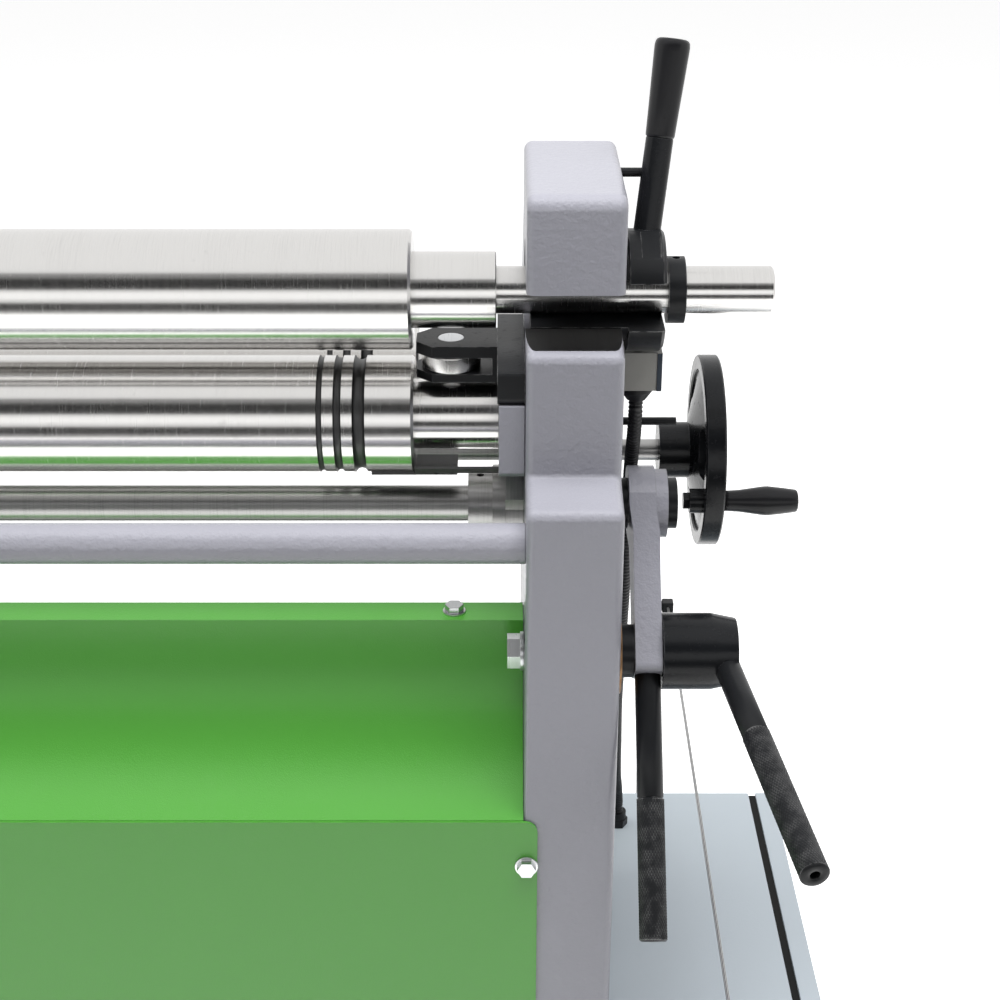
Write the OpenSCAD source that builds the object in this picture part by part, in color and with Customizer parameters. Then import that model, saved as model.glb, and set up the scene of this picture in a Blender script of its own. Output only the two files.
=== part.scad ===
// Powered slip roll machine with three rolls: a top roll that locks down at its right end,
// a lower roll that a cam shaft lifts to pinch the sheet, and a rear roll that a handwheel raises.
// +Z is up, +Y is away from the operator, +X is to the right. The origin is on the floor,
// in the middle of the four anchor holes. The roll line lies straight above it.

/* [Frames] */
// Height of the top roll's axis above the floor
axis_h = 1000; // [960:1:1080]
// Clear width between the two frames
frame_gap = 1467; // [1400:1:1900]
// Thickness of each frame
frame_t = 70.5; // [70:0.5:84]
// How far the lower frame reaches in front of the roll line
frame_front = 135; // [133:1:145]
// How far the lower frame reaches behind the roll line
frame_back = 170; // [168:1:190]
// How far the frame's head reaches in front of the roll line
head_front = 75; // [70:1:78]
// How far the frame's head reaches behind the roll line
head_back = 90; // [84:1:94]
// Height of the frame's head above the top roll's axis
head_up = 92; // [84:1:100]
// Spacing of the floor anchor holes from front to back
anchor_span = 430; // [420:1:440]
// Diameter of a floor anchor hole
anchor_d = 18; // [12:1:22]

/* [Rolls] */
// Diameter of each roll
roll_d = 90; // [88:0.5:91]
// Length of each roll's working body
roll_len = 1300; // [1200:1:1302]
// Gap between the top roll and the lower roll when it is let down
roll_gap = 10; // [9.5:0.1:10.5]
// Diameter of the thick journals
neck_d = 57; // [50:0.5:57.5]
// Diameter of the top roll's right journal
journal_d = 35.5; // [32:0.1:36]
// Free length of the top roll's right journal outside the frame
journal_out = 114; // [100:1:150]
// How far the lower roll is lifted when the pull lever is raised fully
pinch_lift = 8.5; // [7:0.1:8.6]

/* [Pull lever] */
// Diameter of the cam shaft
cam_shaft_d = 28; // [24:0.5:30]
// Angle of the clamp arm, forward of straight down
arm_lean = 40.6; // [36:0.1:44]
// Travel of the pull lever in degrees
arm_travel = 35; // [30:1:36]
// Distance from the cam shaft to the clamp bolt
bolt_radius = 118; // [112:1:120]
// Reach of the pull lever from the cam shaft
lever_reach = 336; // [300:1:380]
// Diameter of the lever bars
lever_d = 20; // [16:0.5:21]
// Reach of the clamp lever from the axis of its hub
clamp_len = 247; // [200:1:270]

/* [Handwheel] */
// Diameter of the handwheel
wheel_d = 160; // [140:1:200]
// Diameter of the handwheel's shaft
wheel_shaft_d = 18; // [16:0.5:20]
// Height of the handwheel's axis below the top roll
wheel_drop = 178; // [176:1:182]
// How far the handwheel's axis lies behind the roll line
wheel_back = 107; // [105:1:110]
// Radius of the circle that the crank handle sits on
crank_radius = 64; // [56:1:66]

/* [Cabinet] */
// Width of the cabinet from front to back
cabinet_w = 400; // [360:1:440]
// Height of the cabinet
cabinet_h = 266; // [240:1:270]
// Depth of the cabinet's body
cabinet_d = 173; // [150:1:200]
// Thickness of the cabinet's door
door_t = 18; // [16:1:22]

/* [Trip wire] */
// Height of the trip wire in front
wire_h = 447; // [420:1:470]
// How much higher the trip wire is at the back
wire_rise = 44; // [0:1:60]
// Diameter of the trip wire
wire_d = 3; // [2:0.5:5]

/* [Hidden] */

$fn = 64;
// how far a cut runs past the face it leaves
over = 2;
// radial clearance of a running fit
fit = 0.05;
// gap between parts that move past each other
slack = 0.3;
// steps in a rounded corner and along an arc
corner_steps = 5;
arc_steps = 12;

// faces of the frames
inner_x = frame_gap / 2;
outer_x = inner_x + frame_t;
mid_x = inner_x + frame_t / 2;
roll_r = roll_d / 2;
body_x = roll_len / 2;
neck_r = neck_d / 2;

// frame castings, heights counted from the top roll's axis
foot_half = 250;
foot_t = 25;
foot_neck = 100;
foot_run = 10;
middle_front = 88;
ledge_drop = 114;
ledge_fall = 7;
shoulder_rise = 45;
shoulder_drop = 30;
edge_r = 8;
slot_up = 20.8;
slot_down = 18.5;
head_r = 11;
lip_r = 8;
foot_r = 4;
pocket_r = 16;
web_pocket_depth = 48;
web_pocket_rim = 32;
web_pocket_top = 480;
lug_w = 24;
lug_t = 14;
lug_h = 26;
panel_screw_drops = [424, 844];
rear_screw_drop = 404;
panel_screw_out = 2;

// top roll: steps from right to left
roll_chamfer = 2;
neck_gap = 21.3;
journal_r = journal_d / 2;
journal_chamfer = 1.5;
drive_journal_r = 20;
drive_neck_gap = 12;
pivot_in = 14;
pivot_x = outer_x - pivot_in;
ball_r = 30;
ball_half = 12;
socket_r = 42;
socket_half = 14;
swing_room = 30;
collar_gap = 35;
collar_w = 13;
collar_r = 25;
collar_screw_r = 3;

// gears on the left side
gear_gap = 9;
gear_w = 20;
gear_face_x = outer_x + gear_gap;
gear_end_x = gear_face_x + gear_w;
teeth_small = 16;
teeth_large = 28;
lower_drop = roll_d + roll_gap;
tooth_overlap = 3;
tooth_gap = 1.5;
tooth_tip_r = lower_drop / 2 + tooth_overlap;
tooth_root_r = lower_drop - pinch_lift - tooth_tip_r - tooth_gap;
pitch_small_r = (lower_drop - pinch_lift / 2) / 2;
pitch_large_r = pitch_small_r * teeth_large / teeth_small;
large_tip_r = pitch_large_r + 5;
large_root_r = pitch_large_r - 6.2;
tooth_root_w = 8;
tooth_tip_w = 3;
large_root_w = 9;
large_tip_w = 5.5;
shaft_end_gap = 4;
idler_drop = 2 * lower_drop - pinch_lift;
idler_journal_r = 15;
idler_journal_len = 25;
drive_angle = 20;
gear_sum = pitch_small_r + pitch_large_r;
drive_y = gear_sum * sin(drive_angle);
drive_drop = idler_drop + gear_sum * cos(drive_angle);
// angles of a tooth of each gear, so that all are in mesh
top_phase = -90;
lower_phase = 90 + 180 / teeth_small;
idler_phase = 90;
drive_phase = 90 + drive_angle - (idler_phase - 270 - drive_angle) * teeth_small / teeth_large
  + 180 / teeth_large;
gear_hub_w = 3;

// lock hub, its lever and its switch
bush_r = 38;
bush_inset = 4;
hub_slot_r = journal_r + 0.1;
hub_neck = 5;
hub_w = 27;
hub_r = 45.5;
hub_edge = 2.5;
hub_flat_at = 43;
hub_flat_angle = 112.4;
hub_flat_in = [9, 4];
lock_lean = 14;
lock_tilt = 7;
lock_x = outer_x + 14.6;
lock_rod_r = 10.2;
lock_rod_start = 30;
lock_rod_end = 112;
lock_grip_len = 71;
lock_grip_r0 = 10.5;
lock_grip_r1 = 13;
lock_grip_round = 3;
stop_pin_r = 3.5;
stop_pin_len = 34;
stop_pin_up = 80;
stop_pin_back = stop_pin_up * tan(lock_lean) + (lock_rod_r + stop_pin_r + slack) / cos(lock_lean);
lock_dir = [sin(lock_tilt), cos(lock_tilt) * sin(lock_lean), cos(lock_tilt) * cos(lock_lean)];
index_pin_r = 3.25;
index_pin_len = 53;
index_pin_back = 58;
index_pin_drop = 131;
switch_w = 30;
switch_lid_t = 4;
switch_lid_rim = 1;
switch_top = 48.5;
switch_h = 31;
switch_front = -5;
switch_deep = 30;
plunger_r = 4;
plunger_up = 3.7;
plunger_y = switch_front + switch_deep / 2;
plunger_travel = 3;
plunger_deep = 12;
gland_r = 9;
gland_h = 12;
switch_gland_r = 13;
switch_gland_h = 4;
switch_gland_end = 7.5;
gland_x = outer_x + 16;

// lower roll, its blocks and the cone bending bracket
block_t = 19.5;
block_front = 78;
block_back = 55;
block_up = 38;
block_nose_r = 15;
block_nose_drop = 37;
block_side_drop = 19.5;
block_chamfer = 4;
block_foot = 6;
boss_half = 28;
boss_end = 6;
lower_neck_r = 27;
lower_journal_r = 20;
lower_journal_in = 56.5;
window_slack = 1;
groove_r = [2.3, 3.2, 5];
groove_in = [70.5, 57, 41];
bracket_h = 26;
bracket_t = 20.5;
bracket_back = 50;
bracket_front = 78;
bracket_nose_r = 6;
bracket_edge_r = 3;
fork_reach = 61;
fork_half = 21;
fork_top_t = 9.2;
fork_slot_h = 12.8;
fork_bottom_t = 6.6;
fork_slot_root = 4;
fork_nose = 12;
fork_low = 1.6;
cone_roller_r = 22.5;
cone_roller_w = 12.4;
cone_pin_r = 6;
cone_head_r = 10;
cone_head_h = 2.6;
cone_pin_x = 35;
guard_under = 34;
guard_past = 32;
guard_t = 2;
// angles of its edges from straight back: its high edge is in front
guard_high = -140;
guard_tab_low = -128;
guard_under_from = -114;
guard_low = -68;
guard_hole_angle = -36;

// cam shaft and its cams
cam_drop = 176.5;
cam_shaft_r = cam_shaft_d / 2;
cam_w = 14;
cam_x = inner_x - slack - cam_w;
cam_flange_w = 10;
cam_flange_r = 30.5;
inner_collar_w = 19;
inner_collar_r = 24.5;
cam_low_r = 30;
cam_contact = 1.2;
cam_start = -22;
cam_end = 62;
cam_step = 4;
left_bore = 38.5;
shaft_tail = 49.5;
arm_collar_w = 8;
arm_collar_r = 20;

// clamp arm and clamp hub
arm_gap = 11;
arm_x0 = outer_x + arm_gap;
arm_w = 20.7;
// the arm is cast with a step that carries its lower part further out
arm_step = 2.8;
arm_step_from = 8;
arm_step_to = 30;
arm_low_x = arm_x0 + arm_step;
arm_boss_w = 9.8;
arm_boss_r = 27;
arm_root_r = 29.5;
arm_root_flat = 1;
arm_end_r = 20;
arm_end_flare = 2;
arm_end_round = 6;
arm_len = 137;
lever_x = outer_x + 24.5;
lever_grip_len = 105.5;
lever_grip_extra = 0.5;
lever_socket = 12;
bolt_r = 8;
slot_half = 9;
bolt_head_h = 10;
bolt_head_r = 13.86;
washer_t = 2.7;
washer_r = 15;
nut_gap = 0.5;
nut_x = arm_low_x + arm_w + nut_gap;
nut_wall = 4;
nut_len = 57.3;
nut_r = 29.5;
nut_cone_len = 19.4;
nut_cone_r = 25.5;
clamp_x = outer_x + 81;
clamp_dir = [0.15, -0.982, -0.117];
clamp_grip_len = 144;
clamp_start = 16;
bronze_r = 33;
bronze_t = 3;
spacer_r = 20.5;

// rear roll slide, tilted towards the top roll
slide_tilt = 8;
slide_rest = 72;
slide_up = 60;
rear_half = 28;
rear_journal_r = 17.5;
rear_journal_in = 36.5;
rear_block_short = 1;
screw_in = 53.5;
screw_x = inner_x + screw_in;
screw_r = 10;
screw_tip_r = 6;
screw_core_r = 7;
screw_tip = 12;
web_low = 24;
web_high = 38;
pocket_in = 31.5;
window_top = slide_rest + slide_up + rear_half + 4;
mitre_small = 11;
mitre_large = 16.5;
mitre_back = 3.5;
mitre_gap = 0.35;
mitre_teeth = 14;
mitre_cut_w = 2;
mitre_cut_deep = 0.9;
slide_cover_t = 4;
slide_cover_half = 38;
slide_cover_low = 38;

// handwheel
wheel_shaft_r = wheel_shaft_d / 2;
wheel_hub_x = outer_x + 43.5;
wheel_hub_w = 25;
wheel_hub_r = 23.5;
wheel_rim_x = outer_x + 76;
wheel_rim_w = 16.5;
wheel_rim_in = 12;
wheel_rim_round = 1.2;
wheel_web_t = 6;
wheel_dish_r = 35;
wheel_dish_in = 3;
wheel_window_half = 8.5;
wheel_window_at = 53;
wheel_window_angle = 40;
wheel_window_sweep = 44;
wheel_window_round = 5;
wheel_r = wheel_d / 2;
crank_angle = 196.7;
crank_x0 = wheel_rim_x + wheel_rim_w + 1;
crank_len = 60;
crank_widest = 0.577;
crank_round = 1;
crank_bolt_r = 5;
crank_boss_r = 10;
crank_boss_out = 11;
crank_r = [8.5, 12, 9];

// covers and tubes
sheet_t = 2;
tie_r = 15;
tie_y = -109;
tie_drop = 157;
rear_tie_r = 20;
rear_tie_y = 120;
rear_tie_drop = [560, 860];
rail_w = 26;
rail_h = 24;
rail_t = 3;
flange_drop = 253;
flange_back = -23;
flange_front = -52;
lip_y = frame_front - 0.2;
lip_h = 14;
lip_top = 383;
cover_inset = 0.5;
panel_over = 10.5;
panel_x = inner_x + panel_over;
panel_screw_x = inner_x + panel_screw_out;
panel_round = 10;
panel_bottom = 885;
panel_gap = 0.4;
rear_panel_top = 372;
louvre_w = 90;
louvre_h = 6;
louvre_pitch = 22;
louvre_count = 8;
hex_r = 7.5;
hex_h = 5;
hex_washer_r = 9;
hex_washer_t = 1.6;
screw_shank_r = 4;
screw_grip = 9;
flange_screw_x = inner_x - 54.5;
flange_screw_y = -38;
drive_cover_t = 3;
drive_cover_depth = 181;
cover_x = outer_x + drive_cover_depth;
drive_cover_inset = 3;
drive_cover_bottom = 900;
post_rod_r = 5;
cover_rods = [[-112, -860], [146, -860], [-58, 68], [156, -236]];

// gearbox and motor
box_gap = 34;
box_flange_r = 118;
box_flange_t = 12;
box_r = 93;
box_w = 98;
worm_offset = 90;
worm_r = 41;
worm_up = 90;
standoff_r = 10;
standoff_at = 108;
standoff_angles = [50, 170, 230, 350];
output_r = 17.5;
motor_x = outer_x + 90;
motor_top = drive_drop + box_flange_r + 2;
motor_flange_r = 80;
motor_flange_t = 12;
motor_r = 66;
motor_fin_in = 1;
motor_len = 220;
motor_fins = 24;
motor_fin_h = 5;
motor_fin_w = 3;
cowl_r = 72;
cowl_len = 50;
terminal_w = 50;
terminal_h = 90;
terminal_d = 24;

// cabinet, its door and what is on it
cabinet_top = 661;
cabinet_back = 303;
cabinet_wall = 2;
cabinet_rim = 14;
door_gap = 7.3;
door_skin = 2;
seal_w = 6;
hinge_r = 7;
hinge_pin_r = 4;
hinge_h = 22;
hinge_pin_short = 1;
hinge_off = 9;
hinge_inset = 30;
cabinet_x1 = outer_x + cabinet_d;
door_x0 = cabinet_x1 + door_gap;
door_x1 = door_x0 + door_t;
hinge_x = cabinet_x1 + door_gap / 2;
hinge_y = cabinet_back + hinge_off;
cabinet_front = cabinet_back - cabinet_w;
cabinet_gland_r = 11;
cabinet_gland_h = 16;
lock_in = 30;
lock_r = 9;
lock_out = 5;
lock_bar_w = 14;
lock_bar_l = 34;
lock_bar_t = 3;
lock_bar_x = cabinet_x1 - cabinet_wall - over;
lock_stem_r = 6;
main_at = 55;
switch_knob_r = 22;
switch_knob_h = 20;
switch_knob_w = 10;
main_row = 80;
button_r = 8;
button_behind = 14;
button_out = 2;
bezel_r = 12;
bezel_h = 2.5;
stop_at = 140;
start_at = 225;
button_row = 30;
main_z = axis_h - cabinet_top - main_row;
button_z = axis_h - cabinet_top - button_row;
main_y = cabinet_front + main_at;
stop_y = cabinet_front + stop_at;
start_y = cabinet_front + start_at;
lock_y = cabinet_front + lock_in;
lock_z = axis_h - cabinet_top - cabinet_h / 2;
hinge_zs = [axis_h - cabinet_top - cabinet_h + hinge_inset, axis_h - cabinet_top - hinge_inset - 2 * hinge_h];
plate_t = 3;
plate_gap = 8;
plate_margin = 30;
contactor = [70, 45, 80];
contactor_gap = 12;
contactor_count = 4;

// trip wire round the machine
post_half = 8.5;
wire_front = -400;
wire_back = 430;
wire_right = outer_x + 93;
wire_left = -outer_x - 236;
guide_r = 18;
guide_rim_r = 24;
guide_h = 12;
guide_rim_t = 3;
wire_turn = guide_r + wire_d / 2 + slack;
wire_steps = 8;
wire_sides = 12;
arm_h = 12;
trip_box = [44, 90, 44];
anchor_block = 12;
anchor_r = 5;
anchor_post_x = outer_x + 75;

// corrugated conduit from the limit switch to the cabinet
conduit_r = 5;
conduit_rib = 0.8;
conduit_bore = 3.6;
conduit_sides = 8;
conduit_step = 3.7;
conduit_bore_step = 30;
// places that the conduit passes, [x, y, z] from the gland on the switch to the cabinet
conduit_path = [
  [0, 0, 0], [0, 0, -6], [0, 0, -12], [0, 7, -34], [0, 22, -58], [0, 35, -90], [0, 44, -130], [0, 56, -190],
  [0, 78, -260], [1, 112, -340], [5, 156, -415], [9, 200, -478], [13, 228, -518],
  [15, 239, -541.5], [15, 239, -547.5], [15, 239, -553.5]
];
conduit_end = conduit_path[len(conduit_path) - 1];
conduit_bore_path = concat([[0, 0, over]], [for (i = [1 : len(conduit_path) - 2]) conduit_path[i]],
  [conduit_end - [0, 0, over]]);

// the rear roll's axis at rest
rear_y = wheel_back - slide_rest * sin(slide_tilt);
rear_drop = wheel_drop - slide_rest * cos(slide_tilt);

// Helpers

// unit vector
function unit(v) = v / norm(v);

// corner b of an outline, rounded with radius r
function corner(a, b, c, r) =
  r <= 0 ? [b] :
  let (u = unit(a - b), v = unit(c - b), half = acos(u * v) / 2,
    o = b + unit(u + v) * r / sin(half), s = b + u * r / tan(half), e = b + v * r / tan(half),
    a0 = atan2(s[1] - o[1], s[0] - o[0]), raw = atan2(e[1] - o[1], e[0] - o[0]) - a0,
    sweep = raw > 180 ? raw - 360 : raw < -180 ? raw + 360 : raw)
  [for (i = [0 : corner_steps]) let (a = a0 + sweep * i / corner_steps) o + r * [cos(a), sin(a)]];

// outline through points [x, y, radius], with its corners rounded
function rounded(p) =
  [for (i = [0 : len(p) - 1])
    let (n = len(p), a = p[(i + n - 1) % n], b = p[i], c = p[(i + 1) % n])
    each corner([a[0], a[1]], [b[0], b[1]], [c[0], c[1]], b[2])];

// lifts what is drawn round the top roll's axis to its height above the floor
module at_axis() {
  translate([0, 0, axis_h]) children();
}

// a flat outline in (Y, Z), made solid from x0 to x1
module slab_x(x0, x1) {
  translate([x0, 0, 0]) rotate([90, 0, 90]) linear_extrude(x1 - x0) children();
}

// a round bar along X
module rod_x(x0, x1, y, z, r) {
  translate([x0, y, z]) rotate([0, 90, 0]) cylinder(r = r, h = x1 - x0);
}

// a turned solid along X through points [x, radius]
module turned_x(y, z, p) {
  translate([0, y, z]) rotate([0, 90, 0]) rotate_extrude() polygon([for (q = p) [q[1], q[0]]]);
}

// a round bar from point p along direction v
module bar(p, v, length, r) {
  translate(p)
    rotate([0, acos(v[2] / norm(v)), atan2(v[1], v[0])])
      cylinder(r = r, h = length);
}

// the same piece on the right and on the left
module both_sides() {
  children();
  mirror([1, 0, 0]) children();
}

// the rear roll's slide: Z runs along the slide, from the handwheel's axis
module on_slide() {
  at_axis() translate([0, wheel_back, -wheel_drop]) rotate([slide_tilt, 0, 0]) children();
}

// the clamp arm: it hangs along -Z from the cam shaft
module on_arm() {
  at_axis() translate([0, 0, -cam_drop]) rotate([-arm_lean, 0, 0]) children();
}

// a band in (Y, Z) round the origin, between radii r0 and r1 and angles a0 and a1 from +Y
module arc_band(r0, r1, a0, a1) {
  turn = [for (i = [0 : arc_steps]) a0 + (a1 - a0) * i / arc_steps];
  polygon(concat([for (a = turn) r0 * [cos(a), sin(a)]],
    [for (i = [arc_steps : -1 : 0]) r1 * [cos(turn[i]), sin(turn[i])]]));
}

// a curved slot with round ends, from x0 to x1: its middle line has radius r and runs from a0 to a1
module arc_slot(x0, x1, r, half, a0, a1) {
  slab_x(x0, x1) arc_band(r - half, r + half, a0, a1);
  for (a = [a0, a1]) rod_x(x0, x1, r * cos(a), r * sin(a), half);
}

// a straight-toothed gear of thickness w with its first tooth at angle phase
module gear(teeth, root_r, tip_r, root_w, tip_w, phase) {
  pitch = 360 / teeth;
  root_half = asin(root_w / 2 / root_r);
  tip_half = asin(tip_w / 2 / tip_r);
  polygon([for (i = [0 : teeth - 1]) let (a = phase + i * pitch) each [
    root_r * [cos(a - pitch / 2), sin(a - pitch / 2)],
    root_r * [cos(a - root_half), sin(a - root_half)],
    tip_r * [cos(a - tip_half), sin(a - tip_half)],
    tip_r * [cos(a + tip_half), sin(a + tip_half)],
    root_r * [cos(a + root_half), sin(a + root_half)]]]);
}

// a hexagon head with its washer, standing on z = 0
module hex_screw() {
  cylinder(r = hex_washer_r, h = hex_washer_t);
  translate([0, 0, hex_washer_t]) cylinder(r = hex_r, h = hex_h, $fn = 6);
  translate([0, 0, -screw_grip]) cylinder(r = screw_shank_r, h = screw_grip);
}

// Frames

// side view of a frame casting
module frame_outline() {
  polygon(rounded([
    [-foot_half, -axis_h, 0],
    [foot_half, -axis_h, 0],
    [foot_half, -axis_h + foot_t, foot_r],
    [frame_back + foot_run, -axis_h + foot_t, edge_r],
    [frame_back, -axis_h + foot_neck, edge_r],
    [frame_back, -shoulder_drop, edge_r],
    [head_back, shoulder_rise, edge_r],
    [head_back, head_up, head_r],
    [-head_front, head_up, head_r],
    [-head_front, -slot_down, 0],
    [-middle_front, -slot_down, lip_r],
    [-middle_front, -ledge_drop, foot_r],
    [-frame_front, -ledge_drop - ledge_fall, edge_r],
    [-frame_front, -axis_h + foot_neck, edge_r],
    [-frame_front - foot_run, -axis_h + foot_t, edge_r],
    [-foot_half, -axis_h + foot_t, foot_r]
  ]));
}

// what both frames share, drawn for the right side
module frame_body() {
  difference() {
    union() {
      at_axis() slab_x(inner_x, outer_x) frame_outline();
      // lugs behind the corner screws of the front and rear panels
      for (d = panel_screw_drops)
        translate([inner_x - lug_w, -frame_front, axis_h - d - lug_h / 2]) cube([lug_w + lug_t, lug_t, lug_h]);
      for (d = [rear_screw_drop, panel_screw_drops[1]])
        translate([inner_x - lug_w, frame_back - lug_t, axis_h - d - lug_h / 2])
          cube([lug_w + lug_t, lug_t, lug_h]);
    }
    // guide window of the lower roll's block
    at_axis() translate([inner_x - over, -boss_half - slack, -lower_drop - boss_half - window_slack])
      cube([frame_t + 2 * over, 2 * boss_half + 2 * slack,
        2 * boss_half + pinch_lift + 2 * window_slack]);
    // window and gear pocket of the rear roll's slide
    on_slide() translate([inner_x - over, -rear_half - slack, web_high])
      cube([frame_t + 2 * over, 2 * rear_half + 2 * slack, window_top - web_high]);
    on_slide() translate([inner_x + pocket_in, -rear_half - slack, -web_low])
      cube([frame_t, 2 * rear_half + 2 * slack, 2 * web_low]);
    on_slide() translate([screw_x, 0, 0])
      cylinder(r = screw_r + fit, h = web_high + over);
    on_slide() translate([screw_x, 0, window_top - over])
      cylinder(r = screw_tip_r + fit, h = screw_tip + 2 * over);
    rod_x(inner_x - over, outer_x + over, wheel_back, axis_h - wheel_drop, wheel_shaft_r + fit);
    // pocket on the hidden inner side, which saves weight
    at_axis() slab_x(inner_x - over, inner_x + web_pocket_depth)
      polygon(rounded([
        [-frame_front + web_pocket_rim, -axis_h + foot_neck + web_pocket_rim, pocket_r],
        [frame_back - web_pocket_rim, -axis_h + foot_neck + web_pocket_rim, pocket_r],
        [frame_back - web_pocket_rim, -web_pocket_top, pocket_r],
        [-frame_front + web_pocket_rim, -web_pocket_top, pocket_r]
      ]));
    // holes of the panel screws
    for (d = panel_screw_drops)
      translate([panel_screw_x, -frame_front - over, axis_h - d]) rotate([-90, 0, 0])
        cylinder(r = screw_shank_r, h = screw_grip + over);
    for (d = [rear_screw_drop, panel_screw_drops[1]])
      translate([panel_screw_x, frame_back + over, axis_h - d]) rotate([90, 0, 0])
        cylinder(r = screw_shank_r, h = screw_grip + over);
    // seats of the rear cross ties
    for (d = rear_tie_drop)
      rod_x(inner_x - over, inner_x + web_pocket_depth, rear_tie_y, axis_h - d, rear_tie_r);
    // anchor holes
    for (y = [-anchor_span / 2, anchor_span / 2])
      translate([mid_x, y, -over]) cylinder(r = anchor_d / 2, h = foot_t + 2 * over);
  }
}

module frame_right() {
  color("#8c8c94") difference() {
    frame_body();
    // open gap that lets the top roll's journal out to the front
    at_axis() translate([inner_x - over, -frame_front, -slot_down])
      cube([frame_t + 2 * over, frame_front, slot_down + slot_up]);
    rod_x(inner_x - over, outer_x + over, 0, axis_h, bush_r + fit);
    rod_x(inner_x - over, outer_x + over, 0, axis_h - cam_drop, cam_shaft_r + fit);
    // arc slot of the clamp bolt
    translate([0, 0, axis_h - cam_drop])
      arc_slot(inner_x - over, outer_x + over, bolt_radius, slot_half, 270 - arm_lean - arm_travel, 270 - arm_lean);
  }
}

module frame_left() {
  color("#8c8c94") mirror([1, 0, 0]) difference() {
    frame_body();
    rod_x(inner_x - over, outer_x + over, 0, axis_h, swing_room);
    rod_x(outer_x - 2 * socket_half, outer_x + over, 0, axis_h, socket_r);
    rod_x(inner_x - over, inner_x + left_bore, 0, axis_h - cam_drop, cam_shaft_r + fit);
    rod_x(outer_x - idler_journal_len, outer_x + over, 0, axis_h - idler_drop,
      idler_journal_r + fit);
  }
}

module tie_tube() {
  color("#9a9aa2") at_axis() rod_x(-inner_x, inner_x, tie_y, -tie_drop, tie_r);
}

// two tubes at the back and the rail under the upper cover's flange
module cross_ties() {
  color("#8c8c94") at_axis() {
    for (d = rear_tie_drop)
      rod_x(-inner_x - web_pocket_depth, inner_x + web_pocket_depth, rear_tie_y, -d, rear_tie_r);
    difference() {
      translate([-inner_x, flange_back - rail_w, -flange_drop - sheet_t - rail_h])
        cube([2 * inner_x, rail_w, rail_h]);
      translate([-inner_x - over, flange_back - rail_w - over, -flange_drop - sheet_t - rail_h - over])
        cube([2 * inner_x + 2 * over, rail_w - rail_t + over, rail_h - rail_t + over]);
      for (s = [-1 : 1]) translate([s * flange_screw_x, flange_screw_y, -flange_drop - rail_h])
        cylinder(r = screw_shank_r, h = rail_h);
    }
  }
}

// Sheet covers

// radius of the upper cover's hollow curve, from its flange to its lip
cover_drop = lip_top - flange_drop;
cover_run = lip_y + flange_front;
cover_r = (cover_run * cover_run + cover_drop * cover_drop) / (2 * cover_run);
cover_sweep = asin(cover_drop / cover_r);

module upper_cover() {
  x1 = inner_x - cover_inset;
  oy = flange_front - cover_r;
  arc = [for (i = [0 : arc_steps]) let (a = -cover_sweep * i / arc_steps)
    [oy + cover_r * cos(a), -flange_drop + cover_r * sin(a)]];
  back = [for (i = [arc_steps : -1 : 0]) let (a = -cover_sweep * i / arc_steps)
    [oy + (cover_r + sheet_t) * cos(a), -flange_drop - sheet_t + (cover_r + sheet_t) * sin(a)]];
  color("#4b9637") difference() {
    at_axis() slab_x(-x1, x1) polygon(concat(
      [[flange_back, -flange_drop]], arc, [[-lip_y, -lip_top - lip_h]],
      [[-lip_y + sheet_t, -lip_top - lip_h]], back, [[flange_back, -flange_drop - sheet_t]]));
    for (s = [-1 : 1])
      translate([s * flange_screw_x, flange_screw_y, axis_h - flange_drop - rail_h])
        cylinder(r = screw_shank_r, h = 2 * rail_h);
  }
}

module front_panel() {
  y = frame_front + panel_gap;
  color("#4b9637") difference() {
    at_axis() translate([0, -y, 0]) rotate([90, 0, 0]) linear_extrude(sheet_t)
      polygon(rounded([
        [-panel_x, -panel_bottom, panel_round], [panel_x, -panel_bottom, panel_round],
        [panel_x, -lip_top, panel_round], [-panel_x, -lip_top, panel_round]]));
    for (s = [-1, 1], d = panel_screw_drops)
      translate([s * panel_screw_x, -y + over, axis_h - d]) rotate([90, 0, 0])
        cylinder(r = screw_shank_r, h = sheet_t + 2 * over);
  }
}

module rear_panel() {
  y = frame_back + panel_gap;
  slot_z = axis_h - rear_panel_top - 3 * louvre_pitch;
  color("#4b9637") difference() {
    at_axis() translate([0, y + sheet_t, 0]) rotate([90, 0, 0]) linear_extrude(sheet_t)
      polygon(rounded([
        [-panel_x, -panel_bottom, panel_round], [panel_x, -panel_bottom, panel_round],
        [panel_x, -rear_panel_top, panel_round], [-panel_x, -rear_panel_top, panel_round]]));
    for (s = [-1, 1], d = [rear_screw_drop, panel_screw_drops[1]])
      translate([s * panel_screw_x, y + sheet_t + over, axis_h - d]) rotate([90, 0, 0])
        cylinder(r = screw_shank_r, h = sheet_t + 2 * over);
    // louvre slots in two fields
    for (s = [-1, 1], i = [0 : louvre_count - 1])
      translate([s * body_x / 2 - louvre_w / 2, y - over, slot_z - i * louvre_pitch])
        cube([louvre_w, sheet_t + 2 * over, louvre_h]);
  }
}

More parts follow.
